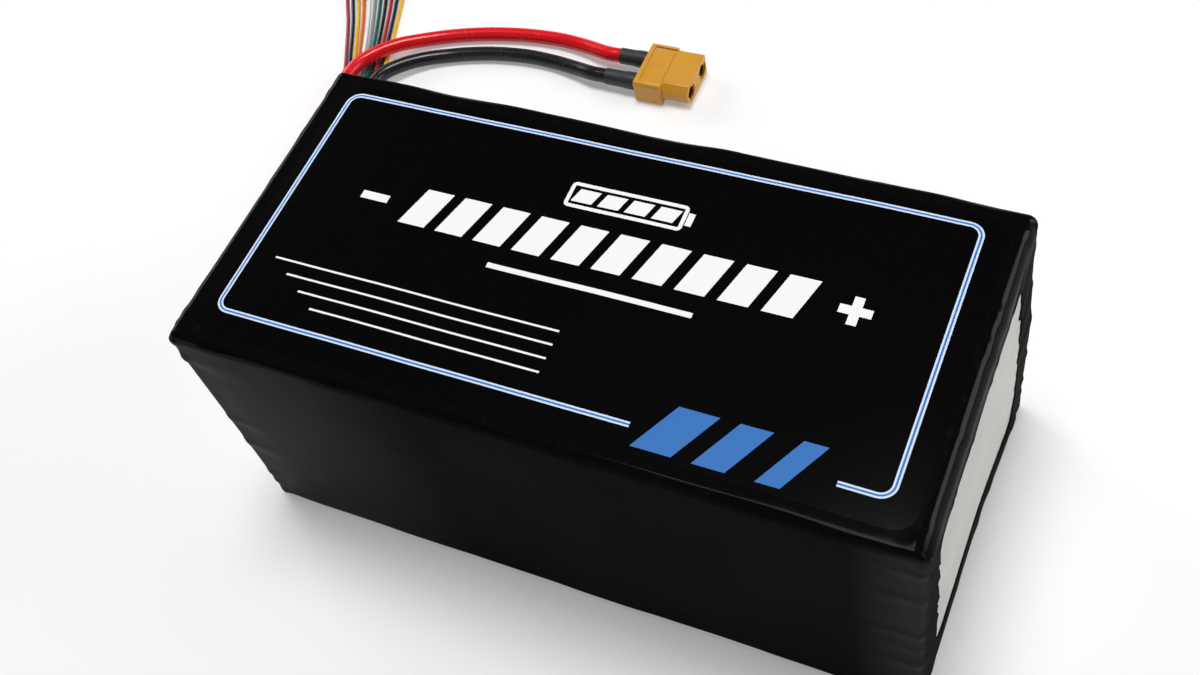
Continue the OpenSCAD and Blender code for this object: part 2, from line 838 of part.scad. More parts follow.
module socket(side) {
    color("#c9a548")
        on_connector()
            difference() {
                union() {
                    rod(-cup_reach, socket_front, side * contact_pitch / 2, 0, cup_d);
                    rod(shoulder_at, socket_front, side * contact_pitch / 2, 0, barrel_d);
                }
                rod(socket_front - socket_depth, socket_front + cut, side * contact_pitch / 2, 0, socket_d);
                rod(-cup_reach - cut, cup_floor, side * contact_pitch / 2, 0, cup_bore);
            }
}
module positive_socket() {
    socket(1);
}
module negative_socket() {
    socket(-1);
}

module balance_wire(i) {
    color(wire_colors[i - 1])
        tube(smooth(wire_path(i), wire_steps), wire_d, wire_sides);
}
// Places what is drawn along +X from the rear face of the balance connector
module on_housing() {
    translate([housing_at.x, housing_at.y, housing_h / 2])
        rotate([0, 0, housing_heading])
            children();
}
module balance_conductors() {
    color("#c08552")
        for (i = [1:wire_count])
            rod(x_wire, x_board_in + conductor_show, wire_exit_y(i), wire_z, wire_conductor_d);
}
module crimp_conductors() {
    color("#c08552")
        on_housing()
            for (i = [1:wire_count])
                rod(crimp_back, terminal_back, wire_step(i) * contact_step, 0, wire_conductor_d);
}
module balance_connector_housing() {
    color("#ece9e0")
        on_housing()
            difference() {
                union() {
                    translate([0, -housing_w / 2, -housing_h / 2])
                        cube([housing_l, housing_w, housing_h]);
                    for (side = [-1, 1])
                        translate([0, side * rib_at - rib_w / 2, 0])
                            cube([housing_l, rib_w, housing_h / 2 + rib_h]);
                }
                for (i = [1:wire_count])
                    translate([-cut, wire_step(i) * contact_step - cavity_w / 2, -cavity_h / 2])
                        cube([housing_l + 2 * cut, cavity_w, cavity_h]);
            }
}
module balance_contacts() {
    color("#cfd0cc")
        on_housing()
            for (i = [1:wire_count])
                translate([0, wire_step(i) * contact_step, 0])
                    difference() {
                        union() {
                            block([terminal_back, -terminal_w / 2, -terminal_h / 2],
                                [terminal_front, terminal_w / 2, terminal_h / 2]);
                            block([crimp_back, -crimp_w / 2, -crimp_w / 2],
                                [terminal_back + terminal_wall, crimp_w / 2, crimp_w / 2]);
                        }
                        block([terminal_back + terminal_wall, -pin_hole / 2, -pin_hole / 2],
                            [terminal_front + cut, pin_hole / 2, pin_hole / 2]);
                        rod(crimp_back - cut, terminal_back, 0, 0, wire_conductor_d);
                    }
}

shrink_wrap();
top_label();
far_end_board();
tab_end_board();
lead_exit_seal();
bay_foam();
series_board();
series_links();
positive_bus();
negative_bus();
tab_solder();
lead_solder();
balance_solder();
for (i = [1:cell_count])
    cell(i);
electrode_stacks();
positive_tabs();
negative_tabs();
tab_seal_films();
cell_pads();
binding_tapes();
lead_conductors();
balance_conductors();
positive_lead();
negative_lead();
cup_conductors();
cup_solder();
positive_cup_sleeve();
negative_cup_sleeve();
power_connector_housing();
positive_socket();
negative_socket();
for (i = [1:wire_count])
    balance_wire(i);
crimp_conductors();
balance_connector_housing();
balance_contacts();
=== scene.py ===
import json
import math

import bmesh
import bpy
import numpy as np
from mathutils import Matrix, Quaternion, Vector, noise


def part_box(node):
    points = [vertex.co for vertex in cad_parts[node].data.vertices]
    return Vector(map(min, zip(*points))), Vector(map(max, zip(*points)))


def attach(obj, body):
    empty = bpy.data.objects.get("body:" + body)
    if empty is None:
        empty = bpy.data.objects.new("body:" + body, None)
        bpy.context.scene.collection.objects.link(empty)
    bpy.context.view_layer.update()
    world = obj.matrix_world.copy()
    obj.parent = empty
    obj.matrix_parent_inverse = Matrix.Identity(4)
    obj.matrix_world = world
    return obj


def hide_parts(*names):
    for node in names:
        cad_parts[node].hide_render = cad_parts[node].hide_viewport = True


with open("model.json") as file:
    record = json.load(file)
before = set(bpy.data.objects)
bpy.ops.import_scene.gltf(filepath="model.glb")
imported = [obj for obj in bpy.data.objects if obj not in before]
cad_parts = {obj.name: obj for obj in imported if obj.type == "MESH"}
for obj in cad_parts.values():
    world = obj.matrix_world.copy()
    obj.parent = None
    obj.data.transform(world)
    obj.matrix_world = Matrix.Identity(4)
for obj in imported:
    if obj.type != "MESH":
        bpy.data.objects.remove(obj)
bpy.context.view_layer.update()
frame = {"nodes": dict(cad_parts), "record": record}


# Camera
# It stands in front of the pack's right end, looks down on the top face and leans to one side,
# so that the pack's long edges run down to the right.
camera_at = Vector((0.13417, -0.17975, 0.38131))
camera_target = Vector((0.01064, -0.01656, 0.091))
camera_roll = math.radians(-17.017)


def placed(name, data):
    made = bpy.data.objects.new(name, data)
    bpy.context.scene.collection.objects.link(made)
    return made


camera_data = bpy.data.cameras.new("camera")
camera_data.lens = 42.77
camera_data.sensor_width = 36.0
camera_data.clip_start = 0.01
camera = placed("camera", camera_data)
camera.location = camera_at
camera.rotation_mode = "QUATERNION"
camera_level = (camera_target - camera_at).to_track_quat("-Z", "Y")
camera.rotation_quaternion = camera_level @ Quaternion((0, 0, 1), camera_roll)
bpy.context.scene.camera = camera


# Power leads
# Two leads of fine copper strands in soft silicone jackets, red for plus and black for minus. Each is
# soldered to its copper bar inside, leaves through sealant and lies on the floor behind the pack.
mounts = {mount["name"]: mount for mount in frame["record"]["mounts"]}
lead_d = 0.0054
lead_inside = 0.0067
lead_exit_z = 0.048
lead_exit_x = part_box("lead_exit_seal")[0].x
connector_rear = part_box("power_connector_housing")[0].x
jacket_stop = 0.0053
sleeve_run = 0.001
sleeve_run_in = 0.006
line_steps = 6
jacket_roundness = 6
positive_route = [
    (-0.112, 0.018, 0.0477), (-0.124, 0.020, 0.0445), (-0.1365, 0.026, 0.036),
    (-0.1475, 0.0365, 0.025), (-0.1565, 0.052, 0.0145), (-0.163, 0.071, 0.0076),
    (-0.167, 0.090, 0.005), (-0.1686, 0.106, 0.0047), (-0.1682, 0.120, 0.0047),
    (-0.1636, 0.1286, 0.0046), (-0.1566, 0.1358, 0.0041), (-0.1484, 0.1413, 0.0032),
    (-0.1395, 0.1457, 0.0028), (-0.130, 0.149, 0.0028), (-0.120, 0.1516, 0.0028),
    (-0.108, 0.1536, 0.0028), (-0.096, 0.1544, 0.0028), (-0.085, 0.1532, 0.0034),
]
negative_route = [
    (-0.112, 0.029, 0.0477), (-0.122, 0.0305, 0.045), (-0.133, 0.0355, 0.0375),
    (-0.1425, 0.0445, 0.027), (-0.150, 0.057, 0.0165), (-0.155, 0.073, 0.009),
    (-0.1576, 0.090, 0.0054), (-0.158, 0.105, 0.0047), (-0.1556, 0.1185, 0.0047),
    (-0.1504, 0.1258, 0.0044), (-0.1432, 0.1319, 0.0035), (-0.1346, 0.1364, 0.0028),
    (-0.1253, 0.1396, 0.0028), (-0.1155, 0.1419, 0.0028), (-0.104, 0.1433, 0.0028),
    (-0.0925, 0.143, 0.0029), (-0.0825, 0.1412, 0.0038),
]


def eased(points):
    """Points on a smooth line through the given ones."""
    path = [Vector(point) for point in points]
    last = len(path) - 1
    line = []
    for i in range(last):
        before, here = path[max(i - 1, 0)], path[i]
        there, after = path[i + 1], path[min(i + 2, last)]
        for step in range(line_steps):
            s = step / line_steps
            bend = (2 * before - 5 * here + 4 * there - after) * s**2
            twist = (3 * here - before - 3 * there + after) * s**3
            line.append(0.5 * (2 * here + (there - before) * s + bend + twist))
    line.append(path[last])
    return line


def lead_line(route, pole):
    """A lead's middle line, from its copper bar along the floor to its socket."""
    exit_y = route[0][1]
    socket_at = Vector(mounts[pole + "_socket_bore"]["pos_m"])
    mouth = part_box(pole + "_cup_sleeve")[0].x
    start = [(lead_exit_x + lead_inside, exit_y, lead_exit_z), (lead_exit_x, exit_y, lead_exit_z)]
    tail = [mouth - sleeve_run_in, mouth - sleeve_run, connector_rear - jacket_stop]
    return eased(start + route + [(x, socket_at.y, socket_at.z) for x in tail])


def line_length(line):
    return sum((there - here).length for here, there in zip(line, line[1:]))


def drawn_cord(node, line, diameter, material):
    """A round jacket drawn along a line, which stands for a CAD node."""
    curve = bpy.data.curves.new(node + "_jacket", "CURVE")
    curve.dimensions = "3D"
    curve.bevel_depth = diameter / 2
    curve.bevel_resolution = jacket_roundness
    curve.use_fill_caps = True
    spline = curve.splines.new("POLY")
    spline.points.add(len(line) - 1)
    for point, place in zip(spline.points, line):
        point.co = (*place, 1)
    spline.use_smooth = True
    curve.materials.append(material)
    cord = placed(node + "_jacket", curve)
    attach(cord, "root")
    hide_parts(node)
    return cord


class Tone:
    """A socket in a material's node tree that can be written into sums."""

    def __init__(self, tree, socket=None):
        self.tree = tree
        self.socket = socket

    def plug(self, socket, value):
        if isinstance(value, Tone):
            self.tree.links.new(value.socket, socket)
        else:
            socket.default_value = value

    def node(self, kind, settings=None, sockets=None, out=0):
        made = self.tree.nodes.new(kind)
        for name, value in (settings or {}).items():
            setattr(made, name, value)
        for name, value in (sockets or {}).items():
            self.plug(made.inputs[name], value)
        return Tone(self.tree, made.outputs[out])

    def sum(self, operation, first, second):
        return self.node("ShaderNodeMath", {"operation": operation}, {0: first, 1: second})

    def __add__(self, other):
        return self.sum("ADD", self, other)

    __radd__ = __add__

    def __sub__(self, other):
        return self.sum("SUBTRACT", self, other)

    def __rsub__(self, other):
        return self.sum("SUBTRACT", other, self)

    def __mul__(self, other):
        return self.sum("MULTIPLY", self, other)

    __rmul__ = __mul__

    def most(self, *others):
        greatest = self
        for other in others:
            greatest = self.sum("MAXIMUM", greatest, other)
        return greatest

    def place(self):
        return self.node("ShaderNodeTexCoord", out="Object")

    def stretched(self, scale):
        """This place with its axes scaled, so that spots on it draw out into lines."""
        return self.node("ShaderNodeMapping", {}, {"Vector": self, "Scale": scale})

    def speckle(self, size, detail, place=None):
        """Cloudy values from 0 to 1 with spots of about the given size in metres."""
        sockets = {"Vector": place or self.place(), "Scale": 0.5 / size, "Detail": detail}
        return self.node("ShaderNodeTexNoise", {}, sockets)

    def step(self, low, high):
        """0 at one value, 1 at another, and a straight ramp between them."""
        return self.node("ShaderNodeMapRange", {"clamp": True},
                         {"Value": self, "From Min": low, "From Max": high})

    def blend(self, first, second):
        """The first colour where this value is 0 and the second where it is 1."""
        return self.node("ShaderNodeMix", {"data_type": "RGBA"},
                         {0: self, 6: first, 7: second}, out=2)

    def relief(self, depth, strength):
        """A surface normal that follows this value as a height."""
        return self.node("ShaderNodeBump", {},
                         {"Strength": strength, "Distance": depth, "Height": self}, out="Normal")


def shade(code, share=1.0):
    """A colour written as six hex digits, brightened or darkened by a share."""
    parts = [int(code[i:i + 2], 16) / 255 for i in (1, 3, 5)]
    linear = [p / 12.92 if p <= 0.04045 else ((p + 0.055) / 1.055) ** 2.4 for p in parts]
    return (*[min(1.0, value * share) for value in linear], 1.0)


def new_finish(name):
    material = bpy.data.materials.new(name)
    material.use_nodes = True
    return material, Tone(material.node_tree)


def set_finish(material, sockets):
    shader = material.node_tree.nodes["Principled BSDF"]
    tone = Tone(material.node_tree)
    for name, value in sockets.items():
        tone.plug(shader.inputs[name], value)
    return material


def silicone(name, code):
    material, tone = new_finish(name)
    cloud = tone.speckle(0.004, detail=3.0)
    dust = tone.speckle(0.0007, detail=4.0).step(0.56, 0.76)
    skin = cloud.blend(shade(code, 0.86), shade(code, 1.1))
    return set_finish(material, {
        "Base Color": (dust * 0.04).blend(skin, shade("#b8b2ac")),
        "Roughness": 0.20 + 0.08 * cloud + 0.10 * dust,
        "Specular IOR Level": 0.35,
        "Normal": tone.speckle(0.0004, detail=3.0).relief(depth=0.00003, strength=0.5),
    })


positive_line = lead_line(positive_route, "positive")
positive_lead = drawn_cord("positive_lead", positive_line, lead_d,
                           silicone("red_silicone", "#e0141f"))
negative_line = lead_line(negative_route, "negative")
negative_lead = drawn_cord("negative_lead", negative_line, lead_d,
                           silicone("black_silicone", "#1c1b1d"))


# Balance wires
# Eleven thin silicone wires, one from each joint between two cells, each of another colour than the next.
# They leave the pack in a flat row under the leads and fan out to their connector on the floor.
wire_d = 0.0015
wire_count = 11
middle_wire = (wire_count + 1) / 2
wire_exit = Vector((lead_exit_x, 0.022, 0.0395))
wire_inside = 0.0079
wire_pitch = 0.0018
contact_step = 0.0025
housing_l = 0.0098
crimp_back = 0.0014
wire_run = 0.002

# The middle of the row, and the pitch of its wires there
ribbon_route = [
    (-0.110, 0.022, 0.0392, 0.0018), (-0.119, 0.0233, 0.036, 0.0018), (-0.129, 0.0275, 0.028, 0.0018),
    (-0.138, 0.035, 0.018, 0.0018), (-0.1455, 0.046, 0.009, 0.0018), (-0.1515, 0.060, 0.0032, 0.00175),
    (-0.156, 0.076, 0.001, 0.0017), (-0.1595, 0.092, 0.0008, 0.00165), (-0.1625, 0.106, 0.0008, 0.0016),
    (-0.166, 0.121, 0.0008, 0.0016), (-0.171, 0.135, 0.0008, 0.00185), (-0.1766, 0.149, 0.0008, 0.0021),
    (-0.1814, 0.160, 0.0014, 0.00235),
]
wire_colours = [
    ("wire_dusty_red", "#983840"), ("wire_navy", "#20243c"), ("wire_yellow", "#e0b01a"),
    ("wire_orange", "#d26c1a"), ("wire_white", "#e8e4de"), ("wire_grey", "#8c8e90"),
    ("wire_green", "#205c56"), ("wire_black", "#1c1c1e"), ("wire_red", "#ac2a36"),
    ("wire_navy", "#20243c"), ("wire_yellow", "#e0b01a"),
]
plug_face = Vector(mounts["balance_plug"]["pos_m"])
plug_axis = Vector(mounts["balance_plug"]["axis"])
plug_rear = plug_face - plug_axis * housing_l
ribbon_middle = [wire_exit + Vector((wire_inside, 0, 0)), wire_exit]
ribbon_middle += [Vector(point[:3]) for point in ribbon_route]
ribbon_middle += [plug_rear - plug_axis * wire_run, plug_rear + plug_axis * crimp_back]
ribbon_pitch = [wire_pitch] * 2 + [point[3] for point in ribbon_route] + [contact_step] * 2


def wire_line(number):
    points = []
    for i, (middle, pitch) in enumerate(zip(ribbon_middle, ribbon_pitch)):
        ahead = ribbon_middle[min(i + 1, len(ribbon_middle) - 1)] - ribbon_middle[max(i - 1, 0)]
        right = Vector((ahead.y, -ahead.x, 0)).normalized()
        points.append(middle + (number - middle_wire) * pitch * right)
    return eased(points)


jackets = {slot: silicone(slot + "_silicone", code) for slot, code in wire_colours}
wire_lines = [wire_line(number) for number in range(1, wire_count + 1)]
wires = [drawn_cord(f"balance_wire_{number:02d}", line, wire_d, jackets[slot])
         for number, (line, (slot, code)) in enumerate(zip(wire_lines, wire_colours), 1)]


# Shrink sleeve
# A seamless black PVC tube, slipped over the stack and shrunk with hot air. It takes up the swell of the
# cells and the bands of tape under it, and its ends gather into puckered lips over the end boards.
wrap_low, wrap_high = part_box("shrink_wrap")
half = (wrap_high - wrap_low) / 2
middle_z = (wrap_low.z + wrap_high.z) / 2
film_t = 0.0004
edge_r = 0.0025
fold_r = 0.0022
far_top_fold_r = 0.004
lip_w = 0.012
opening_r = 0.008
corner_tuck = 0.7
side_steps = (70, 64)
steps_round_corner = 12
taper_depth = 0.0004
taper_reach = 0.007
tape_middle = (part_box("binding_tapes")[0].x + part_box("binding_tapes")[1].x) / 2
tape_pitch = 0.060
tape_half = 0.012
tape_ramp = 0.009
tape_rise = 0.00013
top_tape_share = 0.6
cell_pitch = 0.0099
quarter_turn = math.pi / 2
rng = np.random.default_rng(23)

# Slow waves in the film's top: heights, lengths along and across the pack, and phases
wave_heights = (0.00007, 0.00005)
wave_lengths = ((0.0123, 0.0151), (0.0071, 0.019))
wave_phases = (0.6, 0.4, 1.3)

# Folds at the four corners of an end and along its top, front, base and back: half widths, heights and
# reaches are drawn between two limits
corner_folds = 5
corner_fold_pitch = 0.0042
corner_fold_drift = 0.0011
corner_fold_limits = ((0.0013, 0.0022), (0.00016, 0.0004), (0.001, 0.0028))
side_folds = {-1: (3, 5, 3, 5), 1: (3, 1, 3, 5)}
side_fold_drift = 0.42
side_fold_limits = ((0.0013, 0.0032), (0.00008, 0.00034), (0.002, 0.017))
valley_share = 0.45
valley_at = 1.9
valley_w = 1.3
lip_fade = 0.35
top_fold_reach = 0.004
inner_gather = 0.2
deepest_fold = 0.0003

# Folds seen at the far end's front edge: height, half width, rise and reach
front_folds = [
    (0.082, 0.0017, 0.00026, 0.008), (0.067, 0.0026, 0.00034, 0.013), (0.046, 0.0018, 0.00044, 0.016),
    (0.037, 0.0014, 0.00022, 0.006), (0.027, 0.0021, 0.00036, 0.010),
]

# How far the contents push the ends out
lead_end_push = 0.0006
far_end_push = 0.0015
push_run_y = 0.045
push_run_z = 0.04
push_top = 0.080

# Uneven lips, sides, base and crimped top edges: size and pace of each wave
lip_waves = ((0.0014, 2.2), (0.0007, 6.0), (0.0004, 17.0))
lip_shift = 7.3
torn_lip = 0.0024
torn_waves = ((0.0026, 11), (0.0007, 31))
side_swell = 0.0005
side_waves = ((0.00025, 28, (0, 0, 0)), (0.00007, 90, (7, 0, 0)))
edge_crimp = 0.0036
crimp_pace = (45, 12, 12)
crimp_shift = (0, 3, 0)
base_sag = 0.00018
base_groove = 0.00012
groove_sharpness = 10
floor_clear = 0.00003


def rounded_loop(half_a, half_b, radius, steps_a, steps_b):
    """Points and outward directions round a rectangle with round corners."""
    points, directions = [], []
    for quarter in range(4):
        side_a = 1 if quarter in (0, 3) else -1
        side_b = 1 if quarter in (0, 1) else -1
        centre = np.array((side_a * (half_a - radius), side_b * (half_b - radius)))
        for step in range(steps_round_corner + 1):
            angle = quarter_turn * (quarter + step / steps_round_corner)
            directions.append((math.cos(angle), math.sin(angle)))
            points.append(centre + radius * np.array(directions[-1]))
        half_side, steps = (half_a, steps_a) if quarter % 2 == 0 else (half_b, steps_b)
        straight = 2 * (half_side - radius)
        ahead = np.array((-math.sin(angle), math.cos(angle)))
        corner = points[-1]
        for step in range(1, steps):
            points.append(corner + ahead * straight * step / steps)
            directions.append((math.cos(angle), math.sin(angle)))
    return np.array(points), np.array(directions)


def smooth_step(value):
    value = np.clip(value, 0, 1)
    return value * value * (3 - 2 * value)


def film_noise(spots, pace, shift=(0, 0, 0)):
    """Soft noise at each spot, quicker with a greater pace."""
    return np.array([noise.noise(Vector(spot)) for spot in spots * pace + shift])


def over_tape(x):
    """1 over a band of binding tape and 0 between the bands."""
    bands = [smooth_step((tape_half - np.abs(x - tape_middle - k * tape_pitch)) / tape_ramp + 0.5)
             for k in (-1, 0, 1)]
    return np.maximum.reduce(bands)


def end_taper(x):
    """How far the film draws in towards the folded ends."""
    depth = np.maximum(half.x - fold_r - np.abs(x), 0)
    return -taper_depth * np.exp(-((depth / taper_reach) ** 2))


def top_rise(x, y):
    """Height of the film's top above the nominal one: taper, tape bands and slow waves."""
    (long_x, long_y), (short_x, short_y) = wave_lengths
    phase_x, phase_y, phase_both = wave_phases
    waves = wave_heights[0] * np.sin(x / long_x + phase_x) * np.cos(y / long_y + phase_y)
    waves += wave_heights[1] * np.sin(x / short_x - y / short_y + phase_both)
    return end_taper(x) + top_tape_share * tape_rise * over_tape(x) + waves


def puckers(side_counts):
    """Folds that the shrunk film gathers into at one end: place round the loop, width, height and reach."""
    folds = []
    for corner in range(4):
        for k in range(corner_folds):
            place = corner_places[corner] + (k - corner_folds // 2) * corner_fold_pitch
            place += rng.normal(0, corner_fold_drift)
            folds.append((place, *[rng.uniform(*limits) for limits in corner_fold_limits]))
    for side, count in enumerate(side_counts):
        start, end = corner_places[side], corner_places[(side + 1) % 4]
        span = (end - start) % perimeter
        for k in range(count):
            drift = rng.uniform(-side_fold_drift, side_fold_drift)
            place = start + span * (k + 1 + drift) / (count + 1)
            folds.append((place, *[rng.uniform(*limits) for limits in side_fold_limits]))
    return folds


def fold_shape(off):
    """A ridge with a shallower valley beside it, at places in half widths of the fold."""
    return np.exp(-(off**2)) - valley_share * np.exp(-(((off - valley_at) / valley_w) ** 2))


def end_push(end, y, z):
    """How far the contents push an end out: evenly at the leads, low down and behind at the far end."""
    if end < 0:
        return lead_end_push + 0 * y
    return far_end_push * smooth_step(y / push_run_y) * smooth_step((push_top - z) / push_run_z)


outer_loop, outer_way = rounded_loop(half.y, half.z, edge_r, *side_steps)
loop_steps = np.linalg.norm(np.diff(np.vstack([outer_loop, outer_loop[:1]]), axis=0), axis=1)
perimeter = loop_steps.sum()
round_loop = np.concatenate([[0], np.cumsum(loop_steps)[:-1]])
corner_arc = edge_r * quarter_turn
corner_places = [corner_arc / 2]
for straight_half in (half.y, half.z, half.y):
    corner_places.append(corner_places[-1] + corner_arc + 2 * (straight_half - edge_r))

# Stations from the middle of the sleeve to the inner edge of a lip: depth behind the fold, turn of the
# fold, share of the lip's width and share of the film's thickness
near_end = half.x - fold_r
fold_zone = 0.030
body_rings = 26
zone_rings = 34
fold_rings = 12
lip_rings = 12
stations = [(depth, 0.0, 0.0, 0.0) for depth in np.linspace(near_end, fold_zone, body_rings)]
stations += [(depth, 0.0, 0.0, 0.0) for depth in np.linspace(fold_zone, 0, zone_rings)[1:]]
stations += [(0.0, quarter_turn * step / fold_rings, 0.0, 0.0) for step in range(1, fold_rings + 1)]
stations += [(0.0, quarter_turn, lip, 0.0) for lip in np.linspace(0, 1, lip_rings)[1:]]
stations += [(0.0, quarter_turn, lip, inside) for lip, inside in ((1.01, 0.5), (1.0, 1.0), (0.0, 1.0))]


def sleeve_half(end):
    """Rings of points from the middle of the sleeve to the inside of its lip at one end."""
    folds = puckers(side_folds[end])
    turn = 2 * math.pi * round_loop / perimeter
    round_spots = np.column_stack([np.cos(turn), np.sin(turn), 0 * turn])
    lip_wave = sum(size * film_noise(round_spots, pace, (0, 0, end * lip_shift + pace))
                   for size, pace in lip_waves)
    if end > 0:
        front_low = corner_places[1] + corner_arc / 2 + wrap_high.z - edge_r
        folds += [(front_low - fold[0], *fold[1:]) for fold in front_folds]
        torn = torn_lip + sum(size * film_noise(round_spots, pace) for size, pace in torn_waves)
        lip_wave = lip_wave + torn * np.clip(outer_way[:, 0], 0, 1) ** 4
    top = np.clip(outer_way[:, 1], 0, 1) ** 2
    radius_round = fold_r + (far_top_fold_r - fold_r) * top * (end > 0)
    rings = []
    for depth, angle, lip, inside in stations:
        inset = radius_round * (1 - math.cos(angle)) + lip * (lip_w - radius_round)
        mean_inset = fold_r * (1 - math.cos(angle)) + lip * (lip_w - fold_r)
        radius = edge_r - min(mean_inset, fold_r) * corner_tuck
        radius += lip * (opening_r - edge_r + corner_tuck * fold_r)
        loop, way = rounded_loop(half.y - mean_inset, half.z - mean_inset, radius, *side_steps)
        loop = loop - way * (inset - mean_inset + lip**2 * lip_wave)[:, None]
        y, z = loop[:, 0], loop[:, 1]
        fold_start = half.x + end_push(end, y, z + middle_z) - radius_round
        x = fold_start * (1 - depth / near_end) + radius_round * math.sin(angle) - film_t * inside
        along = end * x
        spots = np.column_stack([along, loop])
        gather = np.zeros(len(loop))
        for place, width, height, reach in folds:
            off = (round_loop - place + perimeter / 2) % perimeter - perimeter / 2
            fade = math.exp(-((depth / reach) ** 2)) * (1 - lip_fade * min(lip, 1))
            gather += height * fold_shape(off / width) * fade
        side = np.abs(way[:, 0]) ** 2
        side_form = side_swell * (1 - (z / half.z) ** 2) * (1 - np.clip(x / half.x, 0, 1) ** 4)
        side_form += tape_rise * over_tape(along) + end_taper(x)
        side_form += sum(size * film_noise(spots, pace, shift) for size, pace, shift in side_waves)
        base = np.clip(-way[:, 1], 0, 1) ** 2
        groove = np.cos(math.pi * y / cell_pitch) ** groove_sharpness
        base_form = -base_sag * (1 - over_tape(along)) - base_groove * groove
        crimp = edge_crimp * film_noise(spots, crimp_pace, crimp_shift)
        body_form = top * top_rise(along, y) + side * side_form + base * base_form + top * side * crimp
        out = body_form * math.cos(angle) + gather * (1 - top * smooth_step(depth / top_fold_reach))
        if inside == 1.0 and lip == 0.0:
            out = inner_gather * gather
        out = np.maximum(out, -deepest_fold)
        ring = np.empty((len(loop), 3))
        ring[:, 0] = end * (x + out * math.sin(angle))
        ring[:, 1] = y + way[:, 0] * out * math.cos(angle)
        ring[:, 2] = np.maximum(middle_z + z + way[:, 1] * out * math.cos(angle), floor_clear)
        rings.append(ring)
    return rings


def ring_faces(ring_count, ring_size, closed):
    """Quads between rings of points that follow one another."""
    faces = []
    for i in range(ring_count if closed else ring_count - 1):
        here, there = i * ring_size, (i + 1) % ring_count * ring_size
        for k in range(ring_size):
            ahead = (k + 1) % ring_size
            faces.append((here + k, here + ahead, there + ahead, there + k))
    return faces


def raw_mesh(name, points, faces):
    mesh = bpy.data.meshes.new(name)
    mesh.from_pydata([tuple(point) for point in points], [], faces)
    return mesh


def finished(name, mesh, material, crease):
    """A piece that rides on the pack, smooth but for edges steeper than the crease."""
    mesh.name = name
    mesh.materials.clear()
    mesh.materials.append(material)
    mesh.polygons.foreach_set("use_smooth", [True] * len(mesh.polygons))
    mesh.set_sharp_from_angle(angle=math.radians(crease))
    piece = placed(name, mesh)
    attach(piece, "root")
    return piece


def new_piece(name, points, faces, material, slot, crease=35.0):
    mesh = raw_mesh(name, points, faces)
    shell = bmesh.new()
    shell.from_mesh(mesh)
    bmesh.ops.recalc_face_normals(shell, faces=shell.faces)
    shell.to_mesh(mesh)
    shell.free()
    return finished(name, mesh, material, crease)


def gloss(material, dark, worn, roughness, height, depth, coat, coat_roughness):
    """A dark film whose gloss is all in a thin coat."""
    return set_finish(material, {
        "Base Color": worn.blend(*[shade(code) for code in dark]),
        "Roughness": roughness,
        "Normal": height.relief(depth, strength=0.3),
        "Specular IOR Level": 0.0,
        "Coat Weight": coat,
        "Coat Roughness": coat_roughness,
        "Coat IOR": 1.5,
    })


def black_film():
    """Film that shines most where it was drawn tight: lead end, upper edges, back and far front folds."""
    material, tone = new_finish("black_pvc_film")
    cloud = tone.speckle(0.018, detail=3.0)
    scuff = tone.speckle(0.0012, detail=5.0).step(0.60, 0.74)
    peel = tone.speckle(0.0011, detail=2.0)
    place = tone.place()
    x, y, z = [tone.node("ShaderNodeSeparateXYZ", {}, {"Vector": place}, out=axis) for axis in "XYZ"]
    lead_end = x.step(-0.030, -0.100)
    upper_edges = z.step(0.080, 0.089) * y.step(-0.047, -0.040)
    back = y.step(-0.035, 0.020) * (1 - x.step(0.090, 0.098))
    far_folds = 0.8 * x.step(0.085, 0.099) * y.step(-0.0478, -0.0494)
    shine = lead_end.most(upper_edges, back, far_folds)
    return gloss(material, ("#09090a", "#202023"), worn=0.2 * scuff, height=peel, depth=0.00003,
                 roughness=0.30 + 0.10 * cloud + 0.10 * scuff,
                 coat=0.03 + 0.03 * cloud + 0.15 * shine - 0.03 * scuff, coat_roughness=0.12)


left_rings = sleeve_half(-1)
right_rings = sleeve_half(1)
sleeve_rings = left_rings[::-1] + right_rings[1:]
sleeve_faces = ring_faces(len(sleeve_rings), len(outer_loop), closed=True)
sleeve = new_piece("shrink_sleeve", np.vstack(sleeve_rings), sleeve_faces, black_film(), "wrap_film", 80.0)
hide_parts("shrink_wrap")


# Top label
# A sheet of black polyester film with white and blue ink, stuck to the top of the sleeve with its own
# adhesive. A frame of three lines runs round plain signs: a row of cells between minus and plus.
label_low, label_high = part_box("top_label")
label_half = (label_high - label_low) / 2
label_t = 0.00012
label_r = 0.006
ink_t = 0.00004
ink_spacing = 0.003
label_columns = 64
label_rows = 22
label_corner_rows = 8


def on_label(points, lift):
    """Places points of the label's plan on its surface, lifted by a height."""
    face_z = wrap_high.z + label_t + lift
    return [(x, y, face_z + float(top_rise(np.array(x), np.array(y)))) for x, y in points]


def label_film():
    material, tone = new_finish("black_label_film")
    cloud = tone.speckle(0.03, detail=2.0)
    scratch = tone.speckle(0.0006, detail=4.0).step(0.62, 0.75)
    wave = tone.speckle(0.004, detail=2.0)
    return gloss(material, ("#070708", "#1c1c1e"), worn=0.1 * scratch, height=wave, depth=0.00001,
                 roughness=0.25 + 0.10 * cloud + 0.10 * scratch,
                 coat=0.20 + 0.05 * cloud - 0.08 * scratch, coat_roughness=0.13)


def grid_faces(columns, rows):
    """Quads of a grid of points that follow one another in rows."""
    across = columns + 1
    return [(j * across + i, j * across + i + 1, (j + 1) * across + i + 1, (j + 1) * across + i)
            for j in range(rows) for i in range(columns)]


